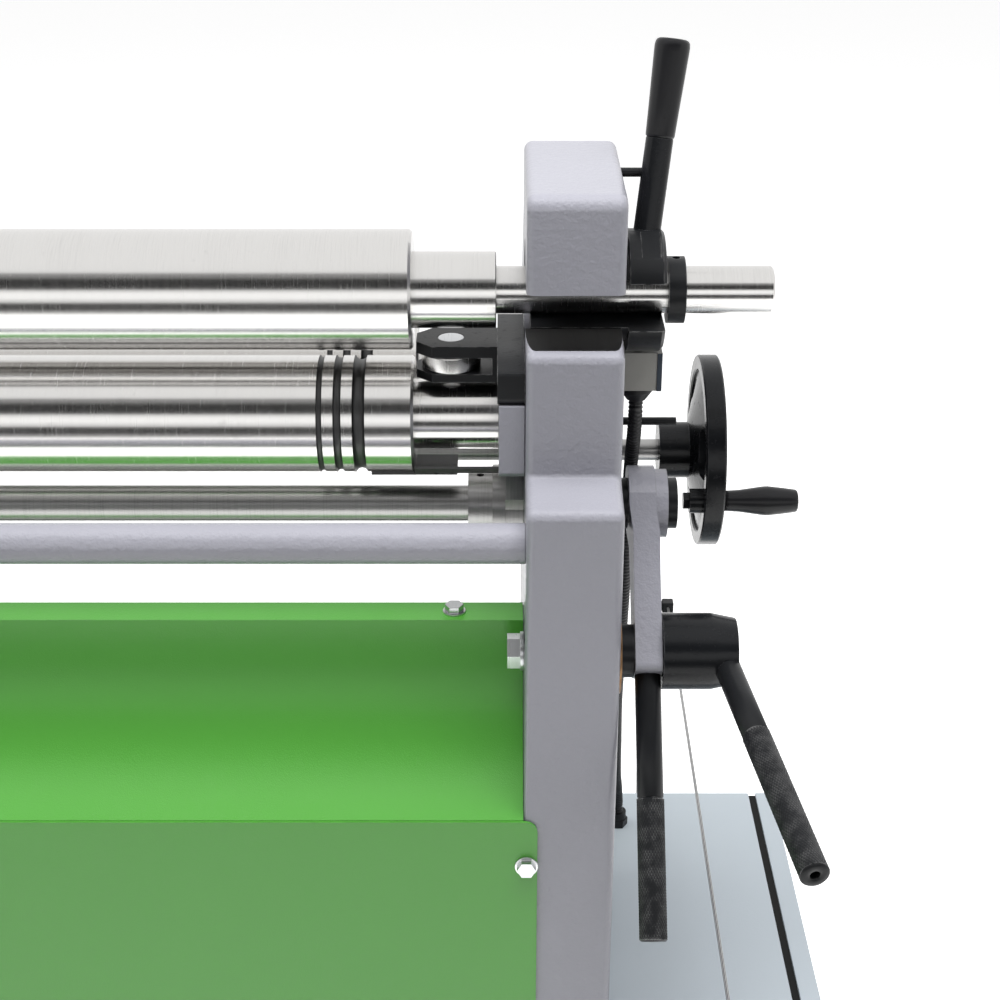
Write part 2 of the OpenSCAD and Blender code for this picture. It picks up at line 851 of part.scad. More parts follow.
// hexagon screws of the covers and the long bolts of the drive cover
module cover_screws() {
  front_y = -frame_front - panel_gap - sheet_t;
  rear_face_y = frame_back + panel_gap + sheet_t;
  color("#c4c6c8") {
    for (s = [-1, 1], d = panel_screw_drops)
      translate([s * panel_screw_x, front_y, axis_h - d]) rotate([90, 0, 0]) hex_screw();
    for (s = [-1, 1], d = [rear_screw_drop, panel_screw_drops[1]])
      translate([s * panel_screw_x, rear_face_y, axis_h - d]) rotate([-90, 0, 0]) hex_screw();
    for (s = [-1 : 1])
      translate([s * flange_screw_x, flange_screw_y, axis_h - flange_drop]) hex_screw();
    at_axis() for (p = cover_rods) {
      rod_x(-cover_x, -outer_x, p[0], p[1], post_rod_r);
      translate([-cover_x, p[0], p[1]]) rotate([0, -90, 0]) {
        cylinder(r = hex_washer_r, h = hex_washer_t);
        translate([0, 0, hex_washer_t]) cylinder(r = hex_r, h = hex_h, $fn = 6);
      }
    }
  }
}

// side view of the drive cover, drawn in by a margin from the frame's outline
module cover_outline(d) {
  polygon(rounded([
    [-frame_front + d, -drive_cover_bottom, edge_r],
    [frame_back - d, -drive_cover_bottom, edge_r],
    [frame_back - d, -shoulder_drop - d / 2, edge_r],
    [head_back - d, shoulder_rise - d / 2, edge_r],
    [head_back - d, head_up - d, edge_r],
    [-head_front + d, head_up - d, edge_r],
    [-head_front + d, -2 * slot_down, edge_r],
    [-frame_front + d, -ledge_drop - d, edge_r]
  ]));
}

module drive_cover() {
  color("#4b9637") at_axis() difference() {
    slab_x(-cover_x, -outer_x - panel_gap) cover_outline(drive_cover_inset);
    slab_x(-cover_x + drive_cover_t, -outer_x + over)
      cover_outline(drive_cover_inset + drive_cover_t);
    for (p = cover_rods) rod_x(-cover_x - over, -cover_x + 2 * over, p[0], p[1], post_rod_r);
    // cooling slots beside the motor
    for (i = [0 : louvre_count - 1])
      translate([-cover_x - over, -louvre_w / 2, -motor_top - i * louvre_pitch])
        cube([drive_cover_t + 2 * over, louvre_w, louvre_h]);
  }
}

// Drive on the left side

module gearbox() {
  face = outer_x + box_gap;
  color("#6f7479") at_axis() {
    difference() {
      union() {
        rod_x(-face - box_flange_t, -face, drive_y, -drive_drop, box_flange_r);
        rod_x(-face - box_w, -face - box_flange_t, drive_y, -drive_drop, box_r);
        translate([-motor_x, drive_y - worm_offset, -motor_top])
          cylinder(r = worm_r, h = worm_up + motor_top - drive_drop);
      }
      rod_x(-face - box_w - over, -face + over, drive_y, -drive_drop, output_r + fit);
    }
    for (a = standoff_angles)
      rod_x(-face, -outer_x, drive_y + standoff_at * cos(a), -drive_drop + standoff_at * sin(a),
        standoff_r);
  }
}

module motor() {
  y = drive_y - worm_offset;
  color("#5d6a74") at_axis() translate([-motor_x, y, -motor_top]) {
    translate([0, 0, -motor_flange_t]) cylinder(r = motor_flange_r, h = motor_flange_t);
    translate([0, 0, -motor_flange_t - motor_len]) {
      cylinder(r = motor_r, h = motor_len);
      for (i = [0 : motor_fins - 1]) rotate(i * 360 / motor_fins)
        translate([motor_r - motor_fin_in, -motor_fin_w / 2, motor_fin_w])
          cube([motor_fin_h, motor_fin_w, motor_len - 4 * motor_fin_w]);
    }
    translate([0, 0, -motor_flange_t - motor_len - cowl_len]) cylinder(r = cowl_r, h = cowl_len);
    translate([-terminal_w / 2, motor_r - terminal_d / 4, -motor_flange_t - motor_len / 2 - terminal_h / 2])
      cube([terminal_w, terminal_d, terminal_h]);
  }
}

module drive_gear() {
  color("#8f9193") at_axis() {
    translate([0, drive_y, -drive_drop]) slab_x(-gear_end_x, -gear_face_x)
      gear(teeth_large, large_root_r, large_tip_r, large_root_w, large_tip_w, drive_phase);
    rod_x(-outer_x - box_gap - box_w + 2 * over, -gear_face_x + gear_hub_w,
      drive_y, -drive_drop, output_r);
  }
}

module idler_gear() {
  color("#8f9193") at_axis() {
    translate([0, 0, -idler_drop]) slab_x(-gear_end_x, -gear_face_x)
      gear(teeth_small, tooth_root_r, tooth_tip_r, tooth_root_w, tooth_tip_w, idler_phase);
    rod_x(-gear_face_x, -outer_x + idler_journal_len - over, 0, -idler_drop, idler_journal_r);
  }
}

module lower_gear() {
  color("#8f9193") at_axis() difference() {
    translate([0, 0, -lower_drop]) slab_x(-gear_end_x, -gear_face_x)
      gear(teeth_small, tooth_root_r, tooth_tip_r, tooth_root_w, tooth_tip_w, lower_phase);
    rod_x(-gear_end_x - over, -gear_face_x + over, 0, -lower_drop, lower_journal_r);
  }
}

module top_gear() {
  color("#8f9193") at_axis() difference() {
    slab_x(-gear_end_x, -gear_face_x)
      gear(teeth_small, tooth_root_r, tooth_tip_r, tooth_root_w, tooth_tip_w, top_phase);
    rod_x(-gear_end_x - over, -gear_face_x + over, 0, 0, drive_journal_r);
  }
}

// Top roll and its swing bearing

module bearing_socket() {
  color("#77797b") at_axis() difference() {
    rod_x(-pivot_x - socket_half, -pivot_x + socket_half, 0, 0, socket_r);
    translate([-pivot_x, 0, 0]) sphere(r = ball_r + slack);
  }
}

module swing_ball() {
  color("#b9bbbd") at_axis() difference() {
    intersection() {
      translate([-pivot_x, 0, 0]) sphere(r = ball_r);
      rod_x(-pivot_x - ball_half, -pivot_x + ball_half, 0, 0, ball_r);
    }
    rod_x(-pivot_x - ball_r, -pivot_x + ball_r, 0, 0, drive_journal_r + fit);
  }
}

module top_roll() {
  left_x = gear_end_x + shaft_end_gap;
  right_x = outer_x + journal_out;
  color("#c9c7c4") at_axis() turned_x(0, 0, [
    [-left_x, 0], [-left_x, drive_journal_r - journal_chamfer],
    [-left_x + journal_chamfer, drive_journal_r],
    [-inner_x + drive_neck_gap, drive_journal_r], [-inner_x + drive_neck_gap, neck_r],
    [-body_x, neck_r], [-body_x, roll_r - roll_chamfer], [-body_x + roll_chamfer, roll_r],
    [body_x - roll_chamfer, roll_r], [body_x, roll_r - roll_chamfer], [body_x, neck_r],
    [inner_x - neck_gap, neck_r], [inner_x - neck_gap, journal_r],
    [right_x - journal_chamfer, journal_r], [right_x, journal_r - journal_chamfer], [right_x, 0]]);
}

module set_collar() {
  x0 = outer_x + collar_gap;
  color("#26282a") at_axis() difference() {
    rod_x(x0, x0 + collar_w, 0, 0, collar_r);
    rod_x(x0 - over, x0 + collar_w + over, 0, 0, journal_r);
    translate([x0 + collar_w / 2, 0, journal_r]) cylinder(r = collar_screw_r, h = collar_r);
  }
}

// Lock hub on the right frame

module lock_hub() {
  x0 = inner_x + bush_inset;
  x1 = outer_x + hub_neck;
  x2 = x1 + hub_w;
  color("#26282a") at_axis() difference() {
    union() {
      rod_x(x0, x1, 0, 0, bush_r);
      turned_x(0, 0, [[x1, 0], [x1, hub_r], [x2 - hub_edge, hub_r], [x2, hub_r - hub_edge], [x2, 0]]);
    }
    rod_x(x0 - over, x2 + over, 0, 0, hub_slot_r);
    translate([x0 - over, -hub_r - over, -hub_slot_r])
      cube([x2 - x0 + 2 * over, hub_r + over, 2 * hub_slot_r]);
    // milled flat in front of the lever
    translate([x1 + hub_flat_in[0], 0, 0]) rotate([hub_flat_angle, 0, 0]) translate([0, hub_flat_at, -hub_r])
      cube([hub_w - hub_flat_in[0] - hub_flat_in[1], hub_r, 2 * hub_r]);
    bar([lock_x, 0, 0] + lock_dir * lock_rod_start, lock_dir, hub_r, lock_rod_r);
  }
}

module lock_lever() {
  color("#2a2c2e") at_axis() bar([lock_x, 0, 0] + lock_dir * lock_rod_start, lock_dir,
    lock_rod_end - lock_rod_start, lock_rod_r);
}

module lock_grip() {
  color("#1c1d1f") at_axis()
    translate([lock_x, 0, 0] + lock_dir * lock_rod_end)
      rotate([0, acos(lock_dir[2]), atan2(lock_dir[1], lock_dir[0])]) {
        cylinder(r1 = lock_grip_r0, r2 = lock_grip_r1, h = lock_grip_len - lock_grip_round);
        translate([0, 0, lock_grip_len - lock_grip_round])
          cylinder(r1 = lock_grip_r1, r2 = lock_grip_r1 - lock_grip_round, h = lock_grip_round);
      }
}

// the lock lever's stop and the index pin, both fixed in the right frame
module index_pins() {
  color("#303234") at_axis() {
    rod_x(outer_x, outer_x + stop_pin_len, stop_pin_back, stop_pin_up, stop_pin_r);
    rod_x(outer_x, outer_x + index_pin_len, index_pin_back, -index_pin_drop, index_pin_r);
  }
}

module limit_switch() {
  color("#a8a9a4") at_axis() difference() {
    translate([outer_x, switch_front, -switch_top - switch_h]) cube([switch_w, switch_deep, switch_h]);
    translate([gland_x, plunger_y, -switch_top - plunger_deep])
      cylinder(r = plunger_r + fit, h = plunger_deep + over);
  }
  // its lid
  color("#2a3442") at_axis()
    translate([outer_x + switch_w, switch_front - switch_lid_rim, -switch_top - switch_h])
      cube([switch_lid_t, switch_deep + 2 * switch_lid_rim, switch_h]);
}

module switch_plunger() {
  deep = plunger_deep - plunger_travel - slack;
  color("#d8d5c8") at_axis() translate([gland_x, plunger_y, -switch_top - deep]) {
    cylinder(r = plunger_r, h = deep + plunger_up - plunger_r / 2);
    translate([0, 0, deep + plunger_up - plunger_r / 2])
      cylinder(r1 = plunger_r, r2 = plunger_r / 2, h = plunger_r / 2);
  }
}

module conduit_glands() {
  color("#1c1d1f") at_axis() {
    translate([gland_x, plunger_y, -switch_top - switch_h - gland_h]) {
      cylinder(r1 = switch_gland_end, r2 = switch_gland_r, h = gland_h - switch_gland_h);
      translate([0, 0, gland_h - switch_gland_h]) cylinder(r = switch_gland_r, h = switch_gland_h);
    }
    translate([gland_x + conduit_end[0], plunger_y + conduit_end[1], -cabinet_top]) {
      cylinder(r = cabinet_gland_r, h = cabinet_gland_h / 2, $fn = 6);
      cylinder(r = gland_r, h = cabinet_gland_h);
    }
  }
}

// Conduit: rings along a smooth curve through its places

// point at share t between places i and i + 1 of a path
function along(p, i, t) =
  let (n = len(p) - 1, a = p[max(i - 1, 0)], b = p[i], c = p[i + 1], d = p[min(i + 2, n)])
  0.5 * (2 * b + (c - a) * t + (2 * a - 5 * b + 4 * c - d) * t * t + (3 * b - a - 3 * c + d) * t * t * t);

// points along a smooth curve through the places p, about one step apart
function smooth(p, step) = concat(
  [for (i = [0 : len(p) - 2]) let (n = max(1, round(norm(p[i + 1] - p[i]) / step)))
    for (j = [0 : n - 1]) along(p, i, j / n)],
  [p[len(p) - 1]]);

// ring of a tube round point c, square to direction t
function ring(c, t, level, r, sides) =
  let (u = unit(cross(t, level)), v = cross(unit(t), u))
  [for (k = [0 : sides - 1]) c + r * (cos(360 * k / sides) * u + sin(360 * k / sides) * v)];

// a closed tube through points p with one radius for each point; level is never along it
module tube(p, r, level, sides) {
  n = len(p);
  points = [for (i = [0 : n - 1])
    each ring(p[i], p[min(i + 1, n - 1)] - p[max(i - 1, 0)], level, r[i], sides)];
  walls = [for (i = [0 : n - 2], k = [0 : sides - 1]) let (m = (k + 1) % sides) each [
    [i * sides + k, (i + 1) * sides + m, i * sides + m],
    [i * sides + k, (i + 1) * sides + k, (i + 1) * sides + m]]];
  first = [for (k = [1 : sides - 2]) [0, k, k + 1]];
  last = [for (k = [1 : sides - 2]) [for (m = [0, k + 1, k]) (n - 1) * sides + m]];
  polyhedron(points, concat(walls, first, last));
}

module conduit() {
  ribbed = smooth(conduit_path, conduit_step);
  bore = smooth(conduit_bore_path, conduit_bore_step);
  color("#17181a") at_axis()
    translate([gland_x, plunger_y, -switch_top - switch_h - gland_h])
      difference() {
        tube(ribbed, [for (i = [0 : len(ribbed) - 1]) i % 2 == 0 ? conduit_r + conduit_rib : conduit_r],
          [1, 0, 0], conduit_sides);
        tube(bore, [for (i = [0 : len(bore) - 1]) conduit_bore], [1, 0, 0], conduit_sides);
      }
}

// Lower roll carriage

module block_outline() {
  polygon([
    [-block_front, block_up], [-block_front, -block_side_drop + block_chamfer],
    [-block_front + block_chamfer, -block_side_drop], [-boss_half - block_foot, -block_side_drop - block_chamfer],
    [-boss_half + block_chamfer, -boss_half], [boss_half - block_chamfer, -boss_half],
    [boss_half + block_foot, -block_side_drop - block_chamfer], [block_back, -block_side_drop + block_chamfer],
    [block_back, block_up]
  ]);
}

module lower_block() {
  at_axis() translate([0, 0, -lower_drop]) difference() {
    union() {
      slab_x(inner_x - block_t, inner_x - slack) block_outline();
      rod_x(inner_x - block_t, inner_x - slack, 0, -block_nose_drop + block_nose_r, block_nose_r);
      translate([inner_x - block_t, -boss_half, -boss_half])
        cube([block_t + frame_t - boss_end, 2 * boss_half, 2 * boss_half]);
    }
    rod_x(inner_x - block_t - over, inner_x + lower_journal_in + fit, 0, 0, lower_journal_r + fit);
  }
}

module lower_blocks() {
  color("#8c8c94") {
    lower_block();
    mirror([1, 0, 0]) difference() {
      lower_block();
      rod_x(inner_x, outer_x + over, 0, axis_h - lower_drop, lower_journal_r + fit);
    }
  }
}

// grooves that hold bent wire near the roll's right end
module wire_grooves(y, z) {
  for (i = [0 : len(groove_r) - 1])
    translate([body_x - groove_in[i], y, z]) rotate([0, 90, 0])
      rotate_extrude() translate([roll_r + groove_r[i] / 3, 0]) circle(r = groove_r[i], $fn = 24);
}

module lower_roll() {
  neck_x = inner_x - block_t - slack;
  left_x = gear_end_x + shaft_end_gap;
  color("#c9c7c4") at_axis() difference() {
    turned_x(0, -lower_drop, [
      [-left_x, 0], [-left_x, lower_journal_r],
      [-neck_x, lower_journal_r], [-neck_x, lower_neck_r],
      [-body_x, lower_neck_r], [-body_x, roll_r - roll_chamfer], [-body_x + roll_chamfer, roll_r],
      [body_x - roll_chamfer, roll_r], [body_x, roll_r - roll_chamfer], [body_x, lower_neck_r],
      [neck_x, lower_neck_r], [neck_x, lower_journal_r],
      [inner_x + lower_journal_in, lower_journal_r], [inner_x + lower_journal_in, 0]]);
    wire_grooves(0, -lower_drop);
  }
}

module cone_bracket() {
  x1 = inner_x - slack;
  x0 = inner_x - bracket_t;
  top = -lower_drop + block_up + bracket_h;
  fork_top = top - fork_low;
  fork_bottom = fork_top - fork_top_t - fork_slot_h - fork_bottom_t;
  color("#222426") at_axis() difference() {
    union() {
      slab_x(x0, x1) polygon(rounded([
        [-bracket_front, top - bracket_h, bracket_nose_r], [bracket_back, top - bracket_h, 0],
        [bracket_back, top, bracket_edge_r], [-bracket_front, top, bracket_edge_r]]));
      translate([0, 0, fork_bottom]) linear_extrude(fork_top - fork_bottom) polygon([
        [x0 + slack, fork_half], [x0 - fork_reach + fork_nose, fork_half],
        [x0 - fork_reach, fork_half - fork_nose], [x0 - fork_reach, -fork_half + fork_nose],
        [x0 - fork_reach + fork_nose, -fork_half], [x0 + slack, -fork_half]]);
    }
    // slot of the roller, and the pin's bore
    translate([x0 - fork_reach - over, -fork_half - over, fork_bottom + fork_bottom_t])
      cube([fork_reach - fork_slot_root + over, 2 * fork_half + 2 * over, fork_slot_h]);
    translate([x0 - cone_pin_x, 0, fork_bottom - over])
      cylinder(r = cone_pin_r, h = fork_top - fork_bottom + 2 * over);
    translate([x0 - cone_pin_x, 0, fork_top - cone_head_h]) cylinder(r = cone_head_r + fit, h = cone_head_h + over);
  }
}

module cone_pin() {
  fork_top = -lower_drop + block_up + bracket_h - fork_low;
  fork_bottom = fork_top - fork_top_t - fork_slot_h - fork_bottom_t;
  color("#8e8f90") at_axis() translate([inner_x - bracket_t - cone_pin_x, 0, fork_bottom]) {
    cylinder(r = cone_pin_r, h = fork_top - fork_bottom);
    translate([0, 0, fork_top - fork_bottom - cone_head_h]) cylinder(r = cone_head_r, h = cone_head_h);
  }
}

module cone_roller() {
  fork_top = -lower_drop + block_up + bracket_h - fork_low;
  z = fork_top - fork_top_t - fork_slot_h / 2 - cone_roller_w / 2;
  color("#d0d0d0") at_axis() translate([inner_x - bracket_t - cone_pin_x, 0, z]) difference() {
    cylinder(r = cone_roller_r, h = cone_roller_w);
    translate([0, 0, -over]) cylinder(r = cone_pin_r + fit, h = cone_roller_w + 2 * over);
  }
}

// bright strip round the bottom of the lower roll's right end, and its tab to the block
module roll_guard() {
  r0 = roll_r + slack;
  color("#b8b8b4") at_axis() translate([0, 0, -lower_drop]) {
    difference() {
      union() {
        slab_x(body_x - guard_under, body_x + slack) arc_band(r0, r0 + guard_t, guard_low, guard_under_from);
        slab_x(body_x + slack, body_x + guard_past) arc_band(r0, r0 + guard_t, guard_low, guard_high);
        slab_x(body_x + guard_past, inner_x - block_t) arc_band(r0, r0 + guard_t, guard_tab_low, guard_high);
      }
      translate([body_x + guard_past / 2, 0, 0]) rotate([guard_hole_angle, 0, 0])
        translate([0, 0, -r0 - guard_t - over]) cylinder(r = screw_shank_r / 2, h = guard_t + 2 * over);
    }
    translate([body_x - guard_under / 2, 0, -r0 - guard_t - guard_t]) cylinder(r = screw_shank_r, h = guard_t);
  }
}

// Cam shaft, arm and levers

module cam_shaft() {
  color("#a09a90") at_axis()
    rod_x(-inner_x - left_bore + over, outer_x + shaft_tail, 0, -cam_drop, cam_shaft_r);
}

module cam_outline() {
  k = pinch_lift / arm_travel;
  low = cam_drop - lower_drop - block_nose_drop - cam_contact;
  rise = [for (a = [cam_start : cam_step : cam_end]) (low + k * a) * [-sin(a), cos(a)]];
  rest = [for (a = [cam_end + 3 * cam_step : 3 * cam_step : 360 + cam_start - 3 * cam_step])
    cam_low_r * [-sin(a), cos(a)]];
  polygon(concat(rise, rest));
}

module cam_set() {
  difference() {
    union() {
      translate([0, 0, -cam_drop]) slab_x(cam_x, cam_x + cam_w) cam_outline();
      rod_x(cam_x - cam_flange_w, cam_x, 0, -cam_drop, cam_flange_r);
    }
    rod_x(cam_x - cam_flange_w - over, inner_x, 0, -cam_drop, cam_shaft_r);
  }
  difference() {
    rod_x(cam_x - cam_flange_w - inner_collar_w, cam_x - cam_flange_w, 0, -cam_drop, inner_collar_r);
    rod_x(cam_x - cam_flange_w - inner_collar_w - over, cam_x, 0, -cam_drop, cam_shaft_r);
    translate([cam_x - cam_flange_w - inner_collar_w / 2, 0, -cam_drop + cam_shaft_r])
      cylinder(r = collar_screw_r, h = inner_collar_r);
  }
}

// the cams with their flanges and collars, and the spacer and end collar of the arm
module cams() {
  x1 = outer_x + shaft_tail;
  color("#9c9ea0") at_axis() {
    both_sides() cam_set();
    difference() {
      union() {
        rod_x(outer_x + slack, arm_x0, 0, -cam_drop, arm_collar_r);
        rod_x(x1 - arm_collar_w, x1, 0, -cam_drop, arm_collar_r);
      }
      rod_x(outer_x, x1 + over, 0, -cam_drop, cam_shaft_r);
    }
  }
}

module clamp_arm() {
  x1 = arm_x0 + arm_w;
  x2 = arm_low_x + arm_w;
  end_half = arm_end_r + arm_end_flare;
  root_round = arm_root_r - arm_root_flat;
  color("#8c8c94") on_arm() difference() {
    union() {
      intersection() {
        slab_x(arm_x0, x2) polygon(rounded([
          [-arm_root_r, 0, 0], [-arm_root_r, arm_root_r, root_round],
          [arm_root_r, arm_root_r, root_round], [arm_root_r, 0, 0], [arm_end_r, -bolt_radius / 2, 0],
          [end_half, -arm_len, arm_end_round], [-end_half, -arm_len, arm_end_round],
          [-arm_end_r, -bolt_radius / 2, 0]]));
        // front view with the step
        translate([0, arm_len, 0]) rotate([90, 0, 0]) linear_extrude(2 * arm_len) polygon([
          [arm_x0, arm_len], [arm_x0, -arm_step_from], [arm_low_x, -arm_step_to], [arm_low_x, -2 * arm_len],
          [x2, -2 * arm_len], [x2, -arm_step_to], [x1, -arm_step_from], [x1, arm_len]]);
      }
      rod_x(x1, x1 + arm_boss_w, 0, 0, arm_boss_r);
    }
    rod_x(arm_x0 - over, x1 + arm_boss_w + over, 0, 0, cam_shaft_r);
    rod_x(arm_x0 - over, x2 + over, 0, -bolt_radius, bolt_r);
    // blind hole that holds the pull lever
    translate([lever_x, 0, -arm_len - over]) cylinder(r = lever_d / 2, h = lever_socket - bolt_r + over);
  }
}

module pull_lever() {
  r = lever_d / 2;
  color("#232527") on_arm() {
    translate([lever_x, 0, -lever_reach + lever_grip_len])
      cylinder(r = r, h = lever_reach - lever_grip_len - arm_len + lever_socket - bolt_r);
    translate([lever_x, 0, -lever_reach + lever_grip_extra])
      cylinder(r = r + lever_grip_extra, h = lever_grip_len - lever_grip_extra);
    translate([lever_x, 0, -lever_reach])
      cylinder(r1 = r - lever_grip_extra, r2 = r + lever_grip_extra, h = lever_grip_extra);
  }
}

module clamp_bolt() {
  head_x = inner_x - slack - washer_t;
  color("#c4c6c8") on_arm() translate([0, 0, -bolt_radius]) {
    rod_x(head_x - bolt_head_h, nut_x + nut_len - 2 * nut_wall, 0, 0, bolt_r);
    translate([head_x - bolt_head_h, 0, 0]) rotate([0, 90, 0]) difference() {
      cylinder(r = bolt_head_r, h = bolt_head_h, $fn = 6);
      translate([0, 0, -over]) cylinder(r = bolt_r, h = bolt_head_h + 2 * over);
    }
    difference() {
      rod_x(head_x, head_x + washer_t, 0, 0, washer_r);
      rod_x(head_x - over, head_x + washer_t + over, 0, 0, bolt_r);
    }
  }
}

module clamp_nut() {
  x1 = nut_x + nut_len;
  p = [0, -bolt_radius * sin(arm_lean), -cam_drop - bolt_radius * cos(arm_lean)];
  color("#232527") at_axis() difference() {
    union() {
      rod_x(nut_x, x1 - nut_cone_len, p[1], p[2], nut_r);
      translate([x1 - nut_cone_len, p[1], p[2]]) rotate([0, 90, 0])
        cylinder(r1 = nut_r, r2 = nut_cone_r, h = nut_cone_len);
    }
    rod_x(nut_x - over, x1 - nut_wall, p[1], p[2], bolt_r + fit);
    bar([clamp_x, p[1], p[2]] + unit(clamp_dir) * clamp_start, clamp_dir, clamp_len, lever_d / 2);
  }
}

module clamp_lever() {
  r = lever_d / 2;
  d = unit(clamp_dir);
  p = [clamp_x, -bolt_radius * sin(arm_lean), -cam_drop - bolt_radius * cos(arm_lean)];
  color("#232527") at_axis() difference() {
    union() {
      bar(p + d * clamp_start, d, clamp_len - clamp_grip_len - clamp_start, r);
      bar(p + d * (clamp_len - clamp_grip_len), d, clamp_grip_len, r + lever_grip_extra);
    }
    bar(p + d * (clamp_len - lever_socket), d, lever_socket + over, r / 3);
  }
}

// bronze friction washer and steel spacer on the clamp bolt, between the right frame and the arm
module arm_washers() {
  x0 = outer_x + slack;
  on_arm() {
    color("#8a6a48") difference() {
      rod_x(x0, x0 + bronze_t, 0, -bolt_radius, bronze_r);
      rod_x(x0 - over, x0 + bronze_t + over, 0, -bolt_radius, bolt_r);
    }
    color("#232527") difference() {
      rod_x(x0 + bronze_t, arm_low_x, 0, -bolt_radius, spacer_r);
      rod_x(x0, arm_low_x + over, 0, -bolt_radius, bolt_r);
    }
  }
}

// Rear roll, its slide and the handwheel

module rear_block() {
  difference() {
    on_slide() translate([inner_x + slack, -rear_half, slide_rest - rear_half])
      cube([frame_t - slack - rear_block_short, 2 * rear_half, 2 * rear_half]);
    at_axis() rod_x(inner_x - over, inner_x + rear_journal_in + fit, rear_y, -rear_drop,
      rear_journal_r + fit);
    on_slide() translate([screw_x, 0, slide_rest - rear_half - over])
      cylinder(r = screw_r + fit, h = 2 * rear_half + 2 * over);
  }
}

module rear_blocks() {
  color("#77797b") both_sides() rear_block();
}

module rear_roll() {
  end_x = inner_x + rear_journal_in;
  neck_x = inner_x - neck_gap;
  color("#c9c7c4") at_axis() difference() {
    turned_x(rear_y, -rear_drop, [
      [-end_x, 0], [-end_x, rear_journal_r], [-neck_x, rear_journal_r], [-neck_x, lower_neck_r],
      [-body_x, lower_neck_r], [-body_x, roll_r - roll_chamfer], [-body_x + roll_chamfer, roll_r],
      [body_x - roll_chamfer, roll_r], [body_x, roll_r - roll_chamfer], [body_x, lower_neck_r],
      [neck_x, lower_neck_r], [neck_x, rear_journal_r], [end_x, rear_journal_r], [end_x, 0]]);
    wire_grooves(rear_y, -rear_drop);
  }
}

// cone of a mitre gear with its apex at the origin, opening along +Z
module mitre() {
  difference() {
    union() {
      translate([0, 0, mitre_small])
        cylinder(r1 = mitre_small - mitre_gap, r2 = mitre_large - mitre_gap,
          h = mitre_large - mitre_small);
      translate([0, 0, mitre_large]) cylinder(r = mitre_large - mitre_gap, h = mitre_back);
    }
    for (i = [0 : mitre_teeth - 1]) rotate(i * 360 / mitre_teeth)
      rotate([0, 45, 0]) translate([-mitre_cut_deep - mitre_gap, -mitre_cut_w / 2, 0])
        cube([mitre_large, mitre_cut_w, 2 * mitre_large]);
  }
}

module rear_screw() {
  on_slide() translate([screw_x, 0, 0]) {
    difference() {
      mitre();
      cylinder(r = screw_core_r, h = mitre_large);
    }
    translate([0, 0, mitre_small]) cylinder(r = screw_core_r, h = mitre_large - mitre_small);
    translate([0, 0, mitre_large + mitre_back])
      cylinder(r = screw_r, h = window_top - slack - mitre_large - mitre_back);
    translate([0, 0, window_top - slack]) cylinder(r = screw_tip_r, h = screw_tip);
  }
}

module rear_screw_right() {
  color("#a8aaac") rear_screw();
}

module rear_screw_left() {
  color("#a8aaac") mirror([1, 0, 0]) rear_screw();
}

module sync_shaft() {
  color("#b4b2ae") at_axis() {
    rod_x(-outer_x - slide_cover_t, wheel_hub_x + wheel_hub_w / 2, wheel_back, -wheel_drop,
      wheel_shaft_r);
    both_sides() difference() {
      translate([screw_x, wheel_back, -wheel_drop]) rotate([0, -90, 0]) mitre();
      rod_x(inner_x, outer_x, wheel_back, -wheel_drop, wheel_shaft_r);
    }
  }
}

// cover plates over the slides' windows
module slide_covers() {
  color("#8c8c94") both_sides() difference() {
    on_slide() translate([outer_x, -slide_cover_half, -slide_cover_low])
      cube([slide_cover_t, 2 * slide_cover_half, window_top + slide_cover_low + slide_cover_half - rear_half]);
    rod_x(outer_x - over, outer_x + slide_cover_t + over, wheel_back, axis_h - wheel_drop,
      wheel_shaft_r + fit);
  }
}

// a window of the handwheel: a piece of a ring with rounded corners
module wheel_window() {
  r0 = wheel_window_at - wheel_window_half;
  r1 = wheel_window_at + wheel_window_half;
  steps = 4;
  turn = [for (i = [0 : steps]) wheel_window_sweep * (i / steps - 0.5)];
  polygon(rounded(concat(
    [for (i = [0 : steps]) [r0 * cos(turn[i]), r0 * sin(turn[i]), i % steps == 0 ? wheel_window_round : 0]],
    [for (i = [steps : -1 : 0]) [r1 * cos(turn[i]), r1 * sin(turn[i]), i % steps == 0 ? wheel_window_round : 0]])));
}

